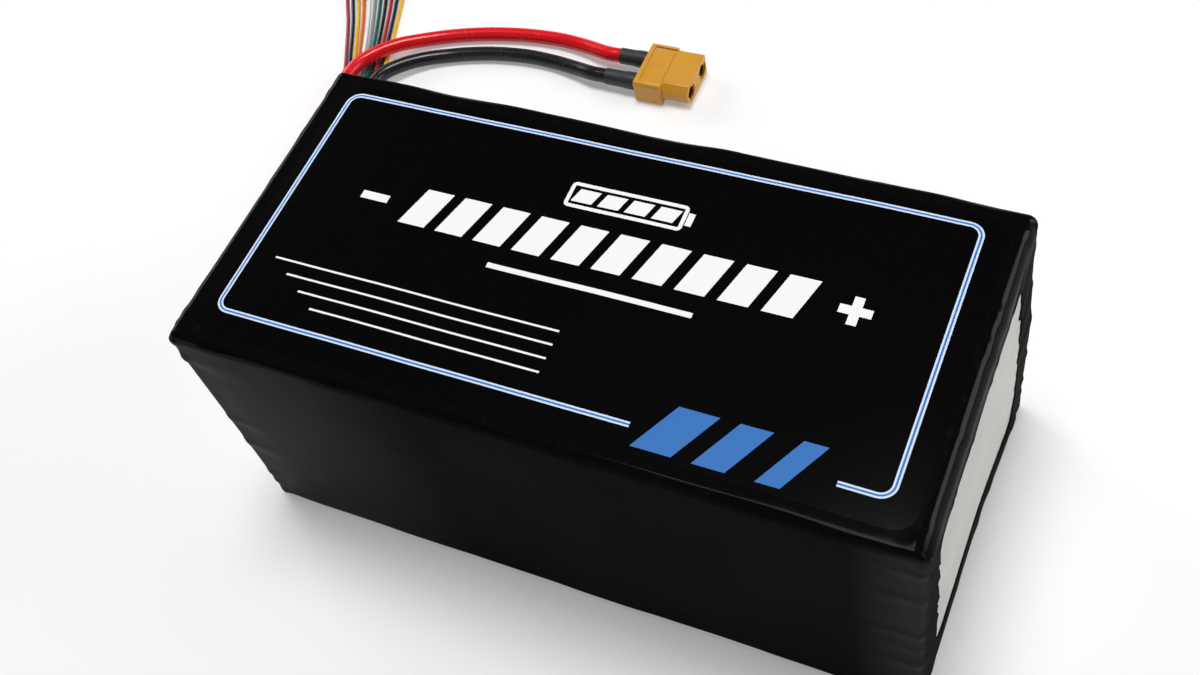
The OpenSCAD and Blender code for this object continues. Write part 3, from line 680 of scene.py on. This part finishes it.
def label_plan():
    """The label in rows of small faces, the rows shorter where its corners are round."""
    turns = [quarter_turn * step / label_corner_rows for step in range(label_corner_rows + 1)]
    corner_y = label_half.y - label_r
    corner_rows = [(corner_y + label_r * math.cos(turn), label_half.x - label_r + label_r * math.sin(turn))
                   for turn in turns]
    rows = [(-y, half_x) for y, half_x in corner_rows]
    rows += [(y, label_half.x) for y in np.linspace(-corner_y, corner_y, label_rows)[1:-1]]
    rows += corner_rows[::-1]
    points = [(half_x * share, y) for y, half_x in rows for share in np.linspace(-1, 1, label_columns + 1)]
    return points, grid_faces(label_columns, len(rows) - 1)


def closed_shell(front, back, cells):
    """Points and faces of a sheet, a second sheet behind it and the rims between the two."""
    used = sorted({i for cell in cells for i in cell})
    mark = {i: k for k, i in enumerate(used)}
    count = len(used)
    cells = [tuple(mark[i] for i in cell) for cell in cells]
    sides = {(cell[k - 1], cell[k]) for cell in cells for k in range(4)}
    rim = sorted((a, b) for a, b in sides if (b, a) not in sides)
    faces = cells + [tuple(count + i for i in reversed(cell)) for cell in cells]
    faces += [(b, a, count + a, count + b) for a, b in rim]
    return [front[i] for i in used] + [back[i] for i in used], faces


def thin_sheets(name, shapes, above, below, material, centre=(0.0, 0.0)):
    """Closed thin sheets between two heights over the label's face."""
    points, faces = [], []
    for plan, cells in shapes:
        plan = [(x + centre[0], y + centre[1]) for x, y in plan]
        shell_points, shell_faces = closed_shell(on_label(plan, above), on_label(plan, below), cells)
        faces += [tuple(len(points) + i for i in face) for face in shell_faces]
        points += shell_points
    return new_piece(name, points, faces, material, "label_film")


label = thin_sheets("top_label_film", [label_plan()], 0.0, -label_t, label_film())
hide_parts("top_label")


def ink(name, code):
    material, tone = new_finish(name)
    wear = tone.speckle(0.0009, detail=4.0).step(0.66, 0.78)
    return set_finish(material, {
        "Base Color": (0.35 * wear).blend(shade(code), shade(code, 0.55)),
        "Roughness": 0.34 + 0.2 * wear,
        "Specular IOR Level": 0.12,
    })


def ink_band(half_x, half_y, radius, width, gap=None):
    """A line round a rounded rectangle, left open between two places of its front side."""
    steps = [round(2 * (side - radius) / ink_spacing) for side in (half_x, half_y)]
    outside = rounded_loop(half_x, half_y, radius, *steps)[0]
    inside = rounded_loop(half_x - width, half_y - width, radius - width, *steps)[0]
    points = np.vstack([outside, inside])
    faces = ring_faces(2, len(outside), closed=False)
    if gap:
        in_gap = (points[:, 1] < 0) & (gap[0] < points[:, 0]) & (points[:, 0] < gap[1])
        faces = [face for face in faces if not all(in_gap[i] for i in face)]
    return points, faces


def ink_bar(x, y, width, height, lean=0.0, steps=6):
    """An upright bar that leans to the right, cut into small faces so that it follows the film."""
    shares = [k / steps - 0.5 for k in range(steps + 1)]
    points = [(x + width * across + lean * up, y + height * up) for up in shares for across in shares]
    return points, grid_faces(steps, steps)


def ink_plus(x, y, length, width):
    """A plus sign in one piece: the middle row and column of nine cells."""
    marks = (-length / 2, -width / 2, width / 2, length / 2)
    points = [(x + across, y + up) for up in marks for across in marks]
    return points, [face for k, face in enumerate(grid_faces(3, 3)) if 1 in (k // 3, k % 3)]


def printed(name, shapes, material, centre=(0.0, 0.0)):
    thin_sheets(name, shapes, ink_t, -ink_t, material, centre)


white_ink = ink("white_ink", "#f0f0f2")
pale_ink = ink("pale_blue_ink", "#cfdff4")
blue_ink = ink("blue_ink", "#3671b8")
frame_centre = (-0.0013, 0.0020)
frame_half = Vector((0.0933, 0.0404))
frame_r = 0.0043
line_w = 0.0005
blue_w = 0.0005
frame_gap = (0.026, 0.081)
for name, inset, width, finish in (("frame_outer_line", 0.0, line_w, pale_ink),
                                   ("frame_blue_line", line_w, blue_w, blue_ink),
                                   ("frame_inner_line", line_w + blue_w, line_w, pale_ink)):
    band = ink_band(frame_half.x - inset, frame_half.y - inset, frame_r - inset, width, frame_gap)
    printed(name, [band], finish, frame_centre)

# Ten leaning bars for the ten cells, between a minus and a plus sign
bar_count = 10
bar_pitch = 0.0116
bar_y = 0.0085
sign_x = 0.0685
sign_l = 0.0085
sign_w = 0.0026
bar_xs = [(k - (bar_count - 1) / 2) * bar_pitch for k in range(bar_count)]
bar_shapes = [ink_bar(x, bar_y, width=0.0082, height=0.0125, lean=0.0036) for x in bar_xs]
bar_shapes.append(ink_bar(-sign_x, bar_y, sign_l, sign_w))
bar_shapes.append(ink_plus(sign_x, bar_y, sign_l, sign_w))
printed("cell_bars", bar_shapes, white_ink)

# A battery outline above the bars, with a pole at one end and four blocks of charge
battery_centre = (0.001, 0.0240)
pole_x = 0.0182
block_xs = [-0.0117 + 0.0078 * k for k in range(4)]
battery_shapes = [ink_band(half_x=0.017, half_y=0.0042, radius=0.0014, width=0.0011)]
battery_shapes.append(ink_bar(pole_x, 0.0, width=0.0018, height=0.0042))
battery_shapes += [ink_bar(x, 0.0, width=0.0060, height=0.0044, lean=0.0014) for x in block_xs]
printed("battery_sign", battery_shapes, white_ink, battery_centre)

# A rule under the bars, write-in lines at the left and three blue stripes at the right
rule_shapes = [ink_bar(x=0.0015, y=-0.0040, width=0.058, height=0.0016, steps=16)]
rule_shapes += [ink_bar(x=-0.0430 + 0.003 * k, y=-0.0180 - 0.0042 * k, width=0.086 - 0.006 * k,
                        height=0.0006, steps=20) for k in range(4)]
printed("ruled_lines", rule_shapes, white_ink)
stripe_shapes = [ink_bar(x=0.0385 + 0.0145 * k, y=-0.0362, width=0.0105 - 0.0022 * k,
                         height=0.0135, lean=0.0075) for k in range(3)]
printed("blue_stripes", stripe_shapes, blue_ink)


# End boards
# Pale grey pressed-fibre boards that cover the cell ends. They are held by the sleeve's lips, and the cells
# push them out a little in the middle.
board_bulge = 0.0012
bulge_power = 0.8
board_columns = 48
board_rows = 44
rim_clear = 0.002
opening_half = Vector((half.y - lip_w, half.z - lip_w))


def board_finish():
    material, tone = new_finish("grey_fibre_board")
    place = tone.place()
    cloud = tone.speckle(0.012, 3.0, place)
    fibre = tone.speckle(0.0006, 5.0, place.stretched((1.0, 0.16, 1.0)))
    fleck = tone.speckle(0.0005, 3.0, place).step(0.64, 0.72)
    paper = cloud.blend(shade("#b9b8b3"), shade("#d3d2cd"))
    paper = (0.35 * fibre).blend(paper, shade("#9f9e99"))
    return set_finish(material, {
        "Base Color": (0.4 * fleck).blend(paper, shade("#8a8883")),
        "Roughness": 0.5 + 0.2 * fibre,
        "Normal": fibre.relief(depth=0.00006, strength=0.5),
    })


grey_board = board_finish()


def end_board(name, node, end, window=None):
    """A board with a soft bulge where the lip leaves it free, and a window cut out of the bulged face."""
    low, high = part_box(node)
    ys = np.linspace(low.y + rim_clear, high.y - rim_clear, board_columns + 1)
    zs = np.linspace(low.z + rim_clear, high.z - rim_clear, board_rows + 1)
    if window:
        for values, limits in ((ys, (window[0].y, window[1].y)), (zs, (window[0].z, window[1].z))):
            for limit in limits:
                values[np.abs(values - limit).argmin()] = limit
    outer_x, inner_x = (high.x, low.x) if end > 0 else (low.x, high.x)
    y, z = [values.ravel() for values in np.meshgrid(ys, zs)]
    u = np.clip(1 - (y / opening_half.x) ** 2, 0, 1)
    v = np.clip(1 - ((z - middle_z) / opening_half.y) ** 2, 0, 1)
    push = end_push(end, y, z)
    front = np.column_stack([outer_x + end * (push + board_bulge * (u * v) ** bulge_power), y, z])
    back = np.column_stack([inner_x + end * push, y, z])

    def in_window(cell):
        middle = front[list(cell)].mean(axis=0)
        return window[0].y < middle[1] < window[1].y and window[0].z < middle[2] < window[1].z

    cells = [cell for cell in grid_faces(board_columns, board_rows) if not (window and in_window(cell))]
    board = new_piece(name, *closed_shell(front, back, cells), grey_board, "end_board")
    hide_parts(node)


end_board("far_board", "far_end_board", 1)
seal_low, seal_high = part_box("lead_exit_seal")
seal_lap = 0.001
window_low = Vector((0, seal_low.y + seal_lap, seal_low.z + seal_lap))
window_high = Vector((0, seal_high.y - seal_lap, seal_high.z - seal_lap))
end_board("tab_board", "tab_end_board", -1, (window_low, window_high))


# Exit seal
# Black neutral-cure silicone, pressed into the window round the leads and wires and smoothed with a finger.
# It cures into a soft lumpy plug that takes the pull off the soldered joints.
seal_over = 0.0014
seal_height = 0.0012
seal_sink = 0.0004
seal_grid = 64
seal_middle = (window_low + window_high) / 2
seal_half = (window_high - window_low) / 2 + Vector((0, seal_over, seal_over))
corner_squeeze = 0.09
dome_power = 0.45
board_follow = 0.9
seal_lump = 0.00035
seal_lump_pace = 420
seal_lump_shift = 3.1
collar_h = 0.0011
collar_run = 0.0009
lead_spots = [(Vector((route[0][1], lead_exit_z)), lead_d / 2) for route in (positive_route, negative_route)]
wire_spots = [(Vector((wire_exit.y + (number - middle_wire) * wire_pitch, wire_exit.z)), wire_d / 2)
              for number in range(1, wire_count + 1)]


def clouded(name, dark, light, size, roughness, spread=0.15, detail=4.0, grain=None, depth=0.00005,
            strength=0.4, metallic=0.0, stretch=None):
    """Cloudy colour and gloss, with relief from the same clouds or from a finer grain."""
    material, tone = new_finish(name)
    place = tone.place()
    cloud = tone.speckle(size, detail, place.stretched(stretch) if stretch else place)
    sockets = {
        "Base Color": cloud.blend(shade(dark), shade(light)),
        "Metallic": metallic,
        "Roughness": roughness + spread * cloud,
    }
    if depth:
        height = tone.speckle(grain, detail, place) if grain else cloud
        sockets["Normal"] = height.relief(depth, strength)
    return set_finish(material, sockets)


def seal_face(y, z):
    """How far the sealant stands out of the board at a place."""
    u, v = abs(y - seal_middle.y) / seal_half.y, abs(z - seal_middle.z) / seal_half.z
    dome = max(0.0, 1 - (u**4 + v**4))
    lumps = seal_lump * noise.noise(Vector((y * seal_lump_pace, z * seal_lump_pace, seal_lump_shift)))
    collar = 0.0
    for spot, radius in lead_spots + wire_spots:
        gap = max((Vector((y, z)) - spot).length - radius, 0)
        collar = max(collar, collar_h * math.exp(-gap / collar_run))
    return (seal_height + lumps + collar) * dome**dome_power


seal_front = []
seal_back = []
for j in range(seal_grid + 1):
    for i in range(seal_grid + 1):
        u, v = 2 * i / seal_grid - 1, 2 * j / seal_grid - 1
        squeeze = 1 - corner_squeeze * (u * v) ** 2
        y = seal_middle.y + u * squeeze * seal_half.y
        z = seal_middle.z + v * squeeze * seal_half.z
        bulge = board_bulge * max(0, 1 - (y / opening_half.x) ** 2) ** bulge_power
        board_x = seal_low.x - end_push(-1, y, z) - board_follow * bulge
        seal_front.append((board_x + seal_sink - seal_face(y, z), y, z))
        seal_back.append((seal_high.x, y, z))
black_sealant = clouded("black_sealant", "#161617", "#27272a", size=0.0022, roughness=0.38, spread=0.2,
                        detail=3.0, grain=0.0009, depth=0.0001, strength=0.5)
seal_shell = closed_shell(seal_front, seal_back, grid_faces(seal_grid, seal_grid))
seal = new_piece("exit_sealant", *seal_shell, black_sealant, "sealant", crease=60.0)
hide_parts("lead_exit_seal")


# Power connector
# A two-pole housing moulded in amber glass-filled nylon. The rear body has a rim on three sides of each
# flat, and the nose is chamfered on the minus side so that the plug goes in one way only.
connector_low, connector_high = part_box("power_connector_housing")
connector_y = (connector_low.y + connector_high.y) / 2
connector_z = (connector_low.z + connector_high.z) / 2
body_l = 0.0104
body_r = 0.0014
soft_r = 0.0003
nose_w = 0.0188
nose_h = 0.0084
nose_chamfer = 0.0024
nose_lap = 0.002
grip_rim = 0.0018
grip_r = 0.0004
grip_over = 0.003
grip_lift = 0.00002
groove_w = 0.0006
groove_depth = 0.00025
groove_end = 0.0032
contact_gap = 0.00005
barrel_r = 0.003
cup_r = 0.0027
shoulder_at = 0.008
cut_past = 0.001
moulded_crease = 28.0
sharp_angle = 0.3
in_line = 0.99
socket_ys = [mounts[name]["pos_m"][1] for name in ("positive_socket_bore", "negative_socket_bore")]


def solid(points, faces):
    """A working solid that a moulding is put together from."""
    return placed("working", raw_mesh("working", points, faces))


def rounded_edges(made, radius, along=None, segments=3):
    """Rounds the edges of a working solid, or only those along one axis."""
    shell = bmesh.new()
    shell.from_mesh(made.data)
    bmesh.ops.recalc_face_normals(shell, faces=shell.faces)
    edges = [edge for edge in shell.edges if edge.calc_face_angle(0) > sharp_angle]
    if along is not None:
        edges = [e for e in edges if abs((e.verts[0].co - e.verts[1].co).normalized()[along]) > in_line]
    bmesh.ops.bevel(shell, geom=edges, offset=radius, segments=segments, profile=0.5, affect="EDGES")
    shell.to_mesh(made.data)
    shell.free()
    return made


def box_solid(low, high):
    points = [(x, y, z) for x in (low[0], high[0]) for y in (low[1], high[1]) for z in (low[2], high[2])]
    faces = [(0, 1, 3, 2), (4, 6, 7, 5), (0, 4, 5, 1), (2, 3, 7, 6), (0, 2, 6, 4), (1, 5, 7, 3)]
    return solid(points, faces)


def prism_solid(outline, start, end):
    """An outline in Y and Z drawn out along X."""
    count = len(outline)
    points = [(x, y, z) for x in (start, end) for y, z in outline]
    faces = [tuple(range(count))[::-1], tuple(range(count, 2 * count))]
    faces += [(k, (k + 1) % count, count + (k + 1) % count, count + k) for k in range(count)]
    return solid(points, faces)


def round_solid(y, z, radius, start, end, sides=48):
    turns = [2 * math.pi * k / sides for k in range(sides)]
    outline = [(y + radius * math.cos(turn), z + radius * math.sin(turn)) for turn in turns]
    return prism_solid(outline, start, end)


def joined(base, added, cut):
    """Adds working solids to a base, cuts others from it and gives the finished mesh."""
    for operation, tool in [("UNION", tool) for tool in added] + [("DIFFERENCE", tool) for tool in cut]:
        step = base.modifiers.new("step", "BOOLEAN")
        step.operation = operation
        step.solver = "EXACT"
        step.object = tool
    bpy.context.view_layer.update()
    shown = base.evaluated_get(bpy.context.evaluated_depsgraph_get())
    mesh = bpy.data.meshes.new_from_object(shown)
    for made in [base] + added + cut:
        bpy.data.objects.remove(made)
    return mesh


def amber_nylon():
    material, tone = new_finish("amber_nylon")
    cloud = tone.speckle(0.005, detail=3.0)
    grain = tone.speckle(0.0005, detail=4.0)
    return set_finish(material, {
        "Base Color": (0.6 * cloud + 0.2 * grain).blend(shade("#c98a1f"), shade("#dca33c")),
        "Roughness": 0.34 + 0.14 * grain,
        "Normal": grain.relief(depth=0.00004, strength=0.4),
    })


body_front = connector_low.x + body_l
body = box_solid(connector_low, (body_front, connector_high.y, connector_high.z))
body = rounded_edges(rounded_edges(body, body_r, along=0, segments=5), soft_r)
nose_y, nose_z = nose_w / 2, nose_h / 2
nose_outline = [(nose_y, nose_z), (nose_y, -nose_z), (-nose_y + nose_chamfer, -nose_z),
                (-nose_y, -nose_z + nose_chamfer), (-nose_y, nose_z - nose_chamfer),
                (-nose_y + nose_chamfer, nose_z)]
nose_outline = [(connector_y + y, connector_z + z) for y, z in nose_outline]
nose = rounded_edges(prism_solid(nose_outline, body_front - nose_lap, connector_high.x), soft_r)
connector_cuts = []
for side in (-1, 1):
    floor_z = connector_z + side * (nose_z + grip_lift)
    panel_z = sorted((floor_z, floor_z + side * grip_over))
    panel = box_solid((connector_low.x + grip_rim, connector_low.y + grip_rim, panel_z[0]),
                      (body_front + cut_past, connector_high.y - grip_rim, panel_z[1]))
    connector_cuts.append(rounded_edges(panel, grip_r))
    groove_z = sorted((floor_z - side * groove_depth, floor_z + side * cut_past))
    connector_cuts.append(box_solid((body_front - groove_w, connector_low.y + groove_end, groove_z[0]),
                                    (body_front, connector_high.y - groove_end, groove_z[1])))
for y in socket_ys:
    connector_cuts.append(round_solid(y, connector_z, cup_r + contact_gap, connector_low.x - cut_past,
                                      connector_high.x))
    connector_cuts.append(round_solid(y, connector_z, barrel_r + contact_gap, connector_low.x + shoulder_at,
                                      connector_high.x + cut_past))
connector = finished("connector_housing", joined(body, [nose], connector_cuts), amber_nylon(),
                     moulded_crease)
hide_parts("power_connector_housing")


# Sockets
# Turned brass sockets, gold plated over nickel, pressed into the housing from behind until they snap
# past a shoulder. Each has a solder cup at the rear for its lead.
def dress(node_names, material):
    """Gives CAD nodes that stay as they are their finish."""
    for name in node_names:
        node = frame["nodes"][name]
        node.data.materials.clear()
        node.data.materials.append(material)


gold_plate = clouded("gold_plate", "#c8952f", "#e8bd5c", size=0.00015, roughness=0.2, spread=0.16,
                     detail=3.0, depth=0.00001, strength=0.5, metallic=1.0, stretch=(1.0, 0.05, 0.05))
dress(["positive_socket", "negative_socket"], gold_plate)


# Cup sleeves
# Short lengths of black polyolefin tube, shrunk over the solder cups and the ends of the leads so that
# no bare metal shows behind the connector.
tube_sides = 40
tube_steps = 30
tube_wall = 0.0003
lead_r = lead_d / 2
lead_grip = lead_r + tube_wall
cup_l = 0.0062
cup_ramp = 0.0016
inner_start = 0.0006
inner_press = 0.00002
tube_lump = 0.00011
lump_pace_x = 300
lump_pace_round = 1.2
lump_from = lead_r + 0.0002

# The rolled rim at the lead: distances along the tube and below its outside
rolled_rim = ((0.00035, 0.00028), (0.00005, 0.0002))
shrunk_black = clouded("black_polyolefin", "#1b1b1d", "#2b2b2d", size=0.0025, roughness=0.42, spread=0.2,
                       grain=0.0007, depth=0.00008, strength=0.5)


def cup_sleeve(name, node, phase):
    """A tube that narrows from the solder cup to the lead, with a rolled rim and soft lumps."""
    low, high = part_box(node)
    centre_y, centre_z = (low.y + high.y) / 2, (low.z + high.z) / 2
    outer = (high.z - low.z) / 2
    profile = [(low.x + along, lead_grip - below) for along, below in rolled_rim]
    for step in range(tube_steps + 1):
        x = low.x + (high.x - low.x) * step / tube_steps
        over_cup = float(smooth_step((x - (high.x - cup_l)) / cup_ramp))
        profile.append((x, lead_grip + (outer - lead_grip) * over_cup))
    profile += [(high.x, lead_r), (low.x + inner_start, lead_r - inner_press)]
    points = []
    for x, radius in profile:
        for k in range(tube_sides):
            angle = 2 * math.pi * k / tube_sides
            way_y, way_z = math.cos(angle), math.sin(angle)
            spot = Vector((x * lump_pace_x + phase, way_y * lump_pace_round, way_z * lump_pace_round))
            r = radius + (tube_lump * noise.noise(spot) if radius > lump_from else 0.0)
            points.append((x, centre_y + r * way_y, centre_z + r * way_z))
    faces = ring_faces(len(profile), tube_sides, closed=True)
    piece = new_piece(name, points, faces, shrunk_black, "cup_sleeve", crease=50.0)
    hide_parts(node)
    return piece


positive_sleeve = cup_sleeve("positive_shrink_tube", "positive_cup_sleeve", 0.0)
negative_sleeve = cup_sleeve("negative_shrink_tube", "negative_cup_sleeve", 9.0)
connector_pieces = [connector, frame["nodes"]["positive_socket"], frame["nodes"]["negative_socket"]]
for lead, line, route, tube in ((positive_lead, positive_line, positive_route, positive_sleeve),
                                (negative_lead, negative_line, negative_route, negative_sleeve)):
    round(line_length(line), 3)
    [tube] + connector_pieces


# Balance connector
# An eleven-way crimp housing of natural white nylon with two guide ribs. A window over each cavity shows
# the spring tongue that holds the tin plated contact.
plug_edge = 0.00245
plug_w = (wire_count - 1) * contact_step + 2 * plug_edge
plug_h = 0.00575
rib_h = 0.0006
rib_w = 0.0012
rib_at = 0.0104
rib_start = 0.0008
rib_stop = 0.0002
rib_r = 0.0002
cavity_w = 0.0019
cavity_h = 0.0022
window_at = 0.0032
window_l = 0.0022
window_w = 0.0013
white_nylon = clouded("white_nylon", "#e6e2d6", "#f3f0e8", size=0.004, roughness=0.38, spread=0.12,
                      detail=3.0, grain=0.0006, depth=0.00003)
plug_body = box_solid((0, -plug_w / 2, -plug_h / 2), (housing_l, plug_w / 2, plug_h / 2))
plug_body = rounded_edges(plug_body, soft_r)
ribs = [box_solid((rib_start, y - rib_w / 2, 0), (housing_l - rib_stop, y + rib_w / 2, plug_h / 2 + rib_h))
        for y in (-rib_at, rib_at)]
plug_cuts = []
for number in range(1, wire_count + 1):
    y = (number - middle_wire) * contact_step
    plug_cuts.append(box_solid((-cut_past, y - cavity_w / 2, -cavity_h / 2),
                               (housing_l + cut_past, y + cavity_w / 2, cavity_h / 2)))
    for low_z, high_z in ((-plug_h / 2 - cut_past, 0), (0, plug_h / 2 + cut_past)):
        plug_cuts.append(box_solid((window_at, y - window_w / 2, low_z),
                                   (window_at + window_l, y + window_w / 2, high_z)))
plug_mesh = joined(plug_body, [rounded_edges(rib, rib_r) for rib in ribs], plug_cuts)
plug_turn = Matrix.Rotation(math.atan2(plug_axis.y, plug_axis.x), 4, "Z")
plug_mesh.transform(Matrix.Translation(plug_rear) @ plug_turn)
plug = finished("balance_housing", plug_mesh, white_nylon, moulded_crease)
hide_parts("balance_connector_housing")
tin_plate = clouded("tin_plate", "#b9b9b4", "#dcdcd8", size=0.0006, roughness=0.28, spread=0.2, depth=None,
                    metallic=1.0)
dress(["balance_contacts"], tin_plate)
for number, (wire, line) in enumerate(zip(wires, wire_lines), 1):
    exit_y = wire_exit.y + (number - middle_wire) * wire_pitch
    round(line_length(line), 3)


# Cells
# Ten pouch cells in satin aluminium laminate, stood on edge and stuck side by side with foam tape. Inside
# each pouch the coated foils are pressed into one block, and three bands of amber tape bind the stack.
def metal(name, dark, light, roughness):
    """Bare or plated sheet with rolling marks."""
    return clouded(name, dark, light, size=0.0005, roughness=roughness, depth=0.00002, metallic=1.0,
                   stretch=(1.0, 0.1, 1.0))


laminate = clouded("pouch_laminate", "#a9acb0", "#c6c9cc", size=0.003, roughness=0.36, spread=0.18,
                   detail=5.0, depth=0.0002, metallic=0.85)
dress([f"cell_{number:02d}" for number in range(1, 11)], laminate)
dress(["electrode_stacks"], clouded("electrode_block", "#2c2d30", "#45464a", 0.002, 0.6))
dress(["tab_seal_films"], clouded("tab_film", "#d6d2c0", "#e6e3d6", 0.002, 0.4))
dress(["cell_pads"], clouded("foam_tape", "#d2d3cc", "#e4e5df", 0.001, 0.7))
dress(["binding_tapes"], clouded("amber_tape", "#a86c16", "#c88a28", 0.004, 0.25))
dress(["positive_tabs"], metal("aluminium_tab", "#bfc2c4", "#dcdee0", 0.32))
dress(["negative_tabs"], metal("nickel_tab", "#9d968a", "#bdb6aa", 0.3))


# Series board
# A glass fibre board that all the tabs pass through. Copper straps join each cell to the next, two bars
# carry the current to the leads, and foam fills the bay in front of it.
dress(["series_board"], clouded("solder_mask", "#17583a", "#23734d", 0.002, 0.35))
dress(["series_links", "positive_bus", "negative_bus"], metal("copper_strap", "#b06c44", "#d08e62", 0.28))
dress(["lead_conductors", "balance_conductors", "cup_conductors", "crimp_conductors"],
      metal("copper_strand", "#b5744a", "#d3966a", 0.35))
dress(["tab_solder", "lead_solder", "balance_solder", "cup_solder"],
      metal("solder", "#b2b4b6", "#d6d8da", 0.2))
dress(["bay_foam"], clouded("bay_foam", "#2d2f33", "#44464b", 0.001, 0.8))


# Studio
# A pale floor that fades to white further off, white walls under a dark ceiling, which the pack's top
# mirrors, and four soft lamps: one above, one at each side and one in front.
floor_half = 4.0
near_glow = 0.26
glow_start = 0.5
glow_full = 1.3
wall_top = (0.10, 0.34)
white = (1.0, 1.0, 1.0, 1.0)
ceiling = (0.02, 0.02, 0.022, 1.0)
floor_corners = [(-floor_half, -floor_half, 0), (floor_half, -floor_half, 0),
                 (floor_half, floor_half, 0), (-floor_half, floor_half, 0)]
floor_mesh = raw_mesh("floor", floor_corners, [(0, 1, 2, 3)])
placed("floor", floor_mesh)
floor_material, tone = new_finish("pale_floor")
set_finish(floor_material, {
    "Base Color": (0.97, 0.97, 0.97, 1.0),
    "Roughness": 0.9,
    "Specular IOR Level": 0.1,
})
camera_ray, glossy_ray, clear_ray = [tone.node("ShaderNodeLightPath", out=f"Is {kind} Ray")
                                     for kind in ("Camera", "Glossy", "Transmission")]
seen = camera_ray.most(glossy_ray, clear_ray)
distance = tone.node("ShaderNodeVectorMath", {"operation": "LENGTH"}, {0: tone.place()}, out="Value")
far_off = distance.step(glow_start, glow_full)
shown_share = (near_glow + (1 - near_glow) * far_off) * seen
glow = tone.node("ShaderNodeEmission", {}, {"Color": white, "Strength": 1.0})
floor_nodes = floor_material.node_tree.nodes
floor_surface = Tone(tone.tree, floor_nodes["Principled BSDF"].outputs[0])
floor_surface = tone.node("ShaderNodeMixShader", {}, {0: shown_share, 1: floor_surface, 2: glow})
tone.plug(floor_nodes["Material Output"].inputs["Surface"], floor_surface)
floor_mesh.materials.append(floor_material)

world = bpy.data.worlds.new("studio")
bpy.context.scene.world = world
world.use_nodes = True
sky = Tone(world.node_tree)
direction = sky.node("ShaderNodeTexCoord", out="Generated")
height = sky.node("ShaderNodeSeparateXYZ", {}, {"Vector": direction}, out="Z")
background = world.node_tree.nodes["Background"]
sky.plug(background.inputs["Color"], height.step(*wall_top).blend(white, ceiling))
background.inputs["Strength"].default_value = 1.0


def soft_lamp(name, place, width, height, watts, target=(0, 0, 0.04)):
    lamp_data = bpy.data.lights.new(name, "AREA")
    lamp_data.shape = "RECTANGLE"
    lamp_data.size = width
    lamp_data.size_y = height
    lamp_data.energy = watts
    lamp = placed(name, lamp_data)
    lamp.location = place
    lamp.rotation_mode = "QUATERNION"
    lamp.rotation_quaternion = (Vector(target) - Vector(place)).to_track_quat("-Z", "Y")


soft_lamp("main_softbox", (-0.14, 0.26, 2.1), width=0.75, height=0.75, watts=32.0)
soft_lamp("right_softbox", (0.95, 0.45, 0.6), width=0.6, height=0.5, watts=4.6)
soft_lamp("left_softbox", (-1.0, 0.45, 0.5), width=0.6, height=0.5, watts=4.2)
soft_lamp("front_softbox", (0.1, -1.6, 1.2), width=2.0, height=1.2, watts=2.0)
bpy.context.scene.view_settings.view_transform = "Standard"
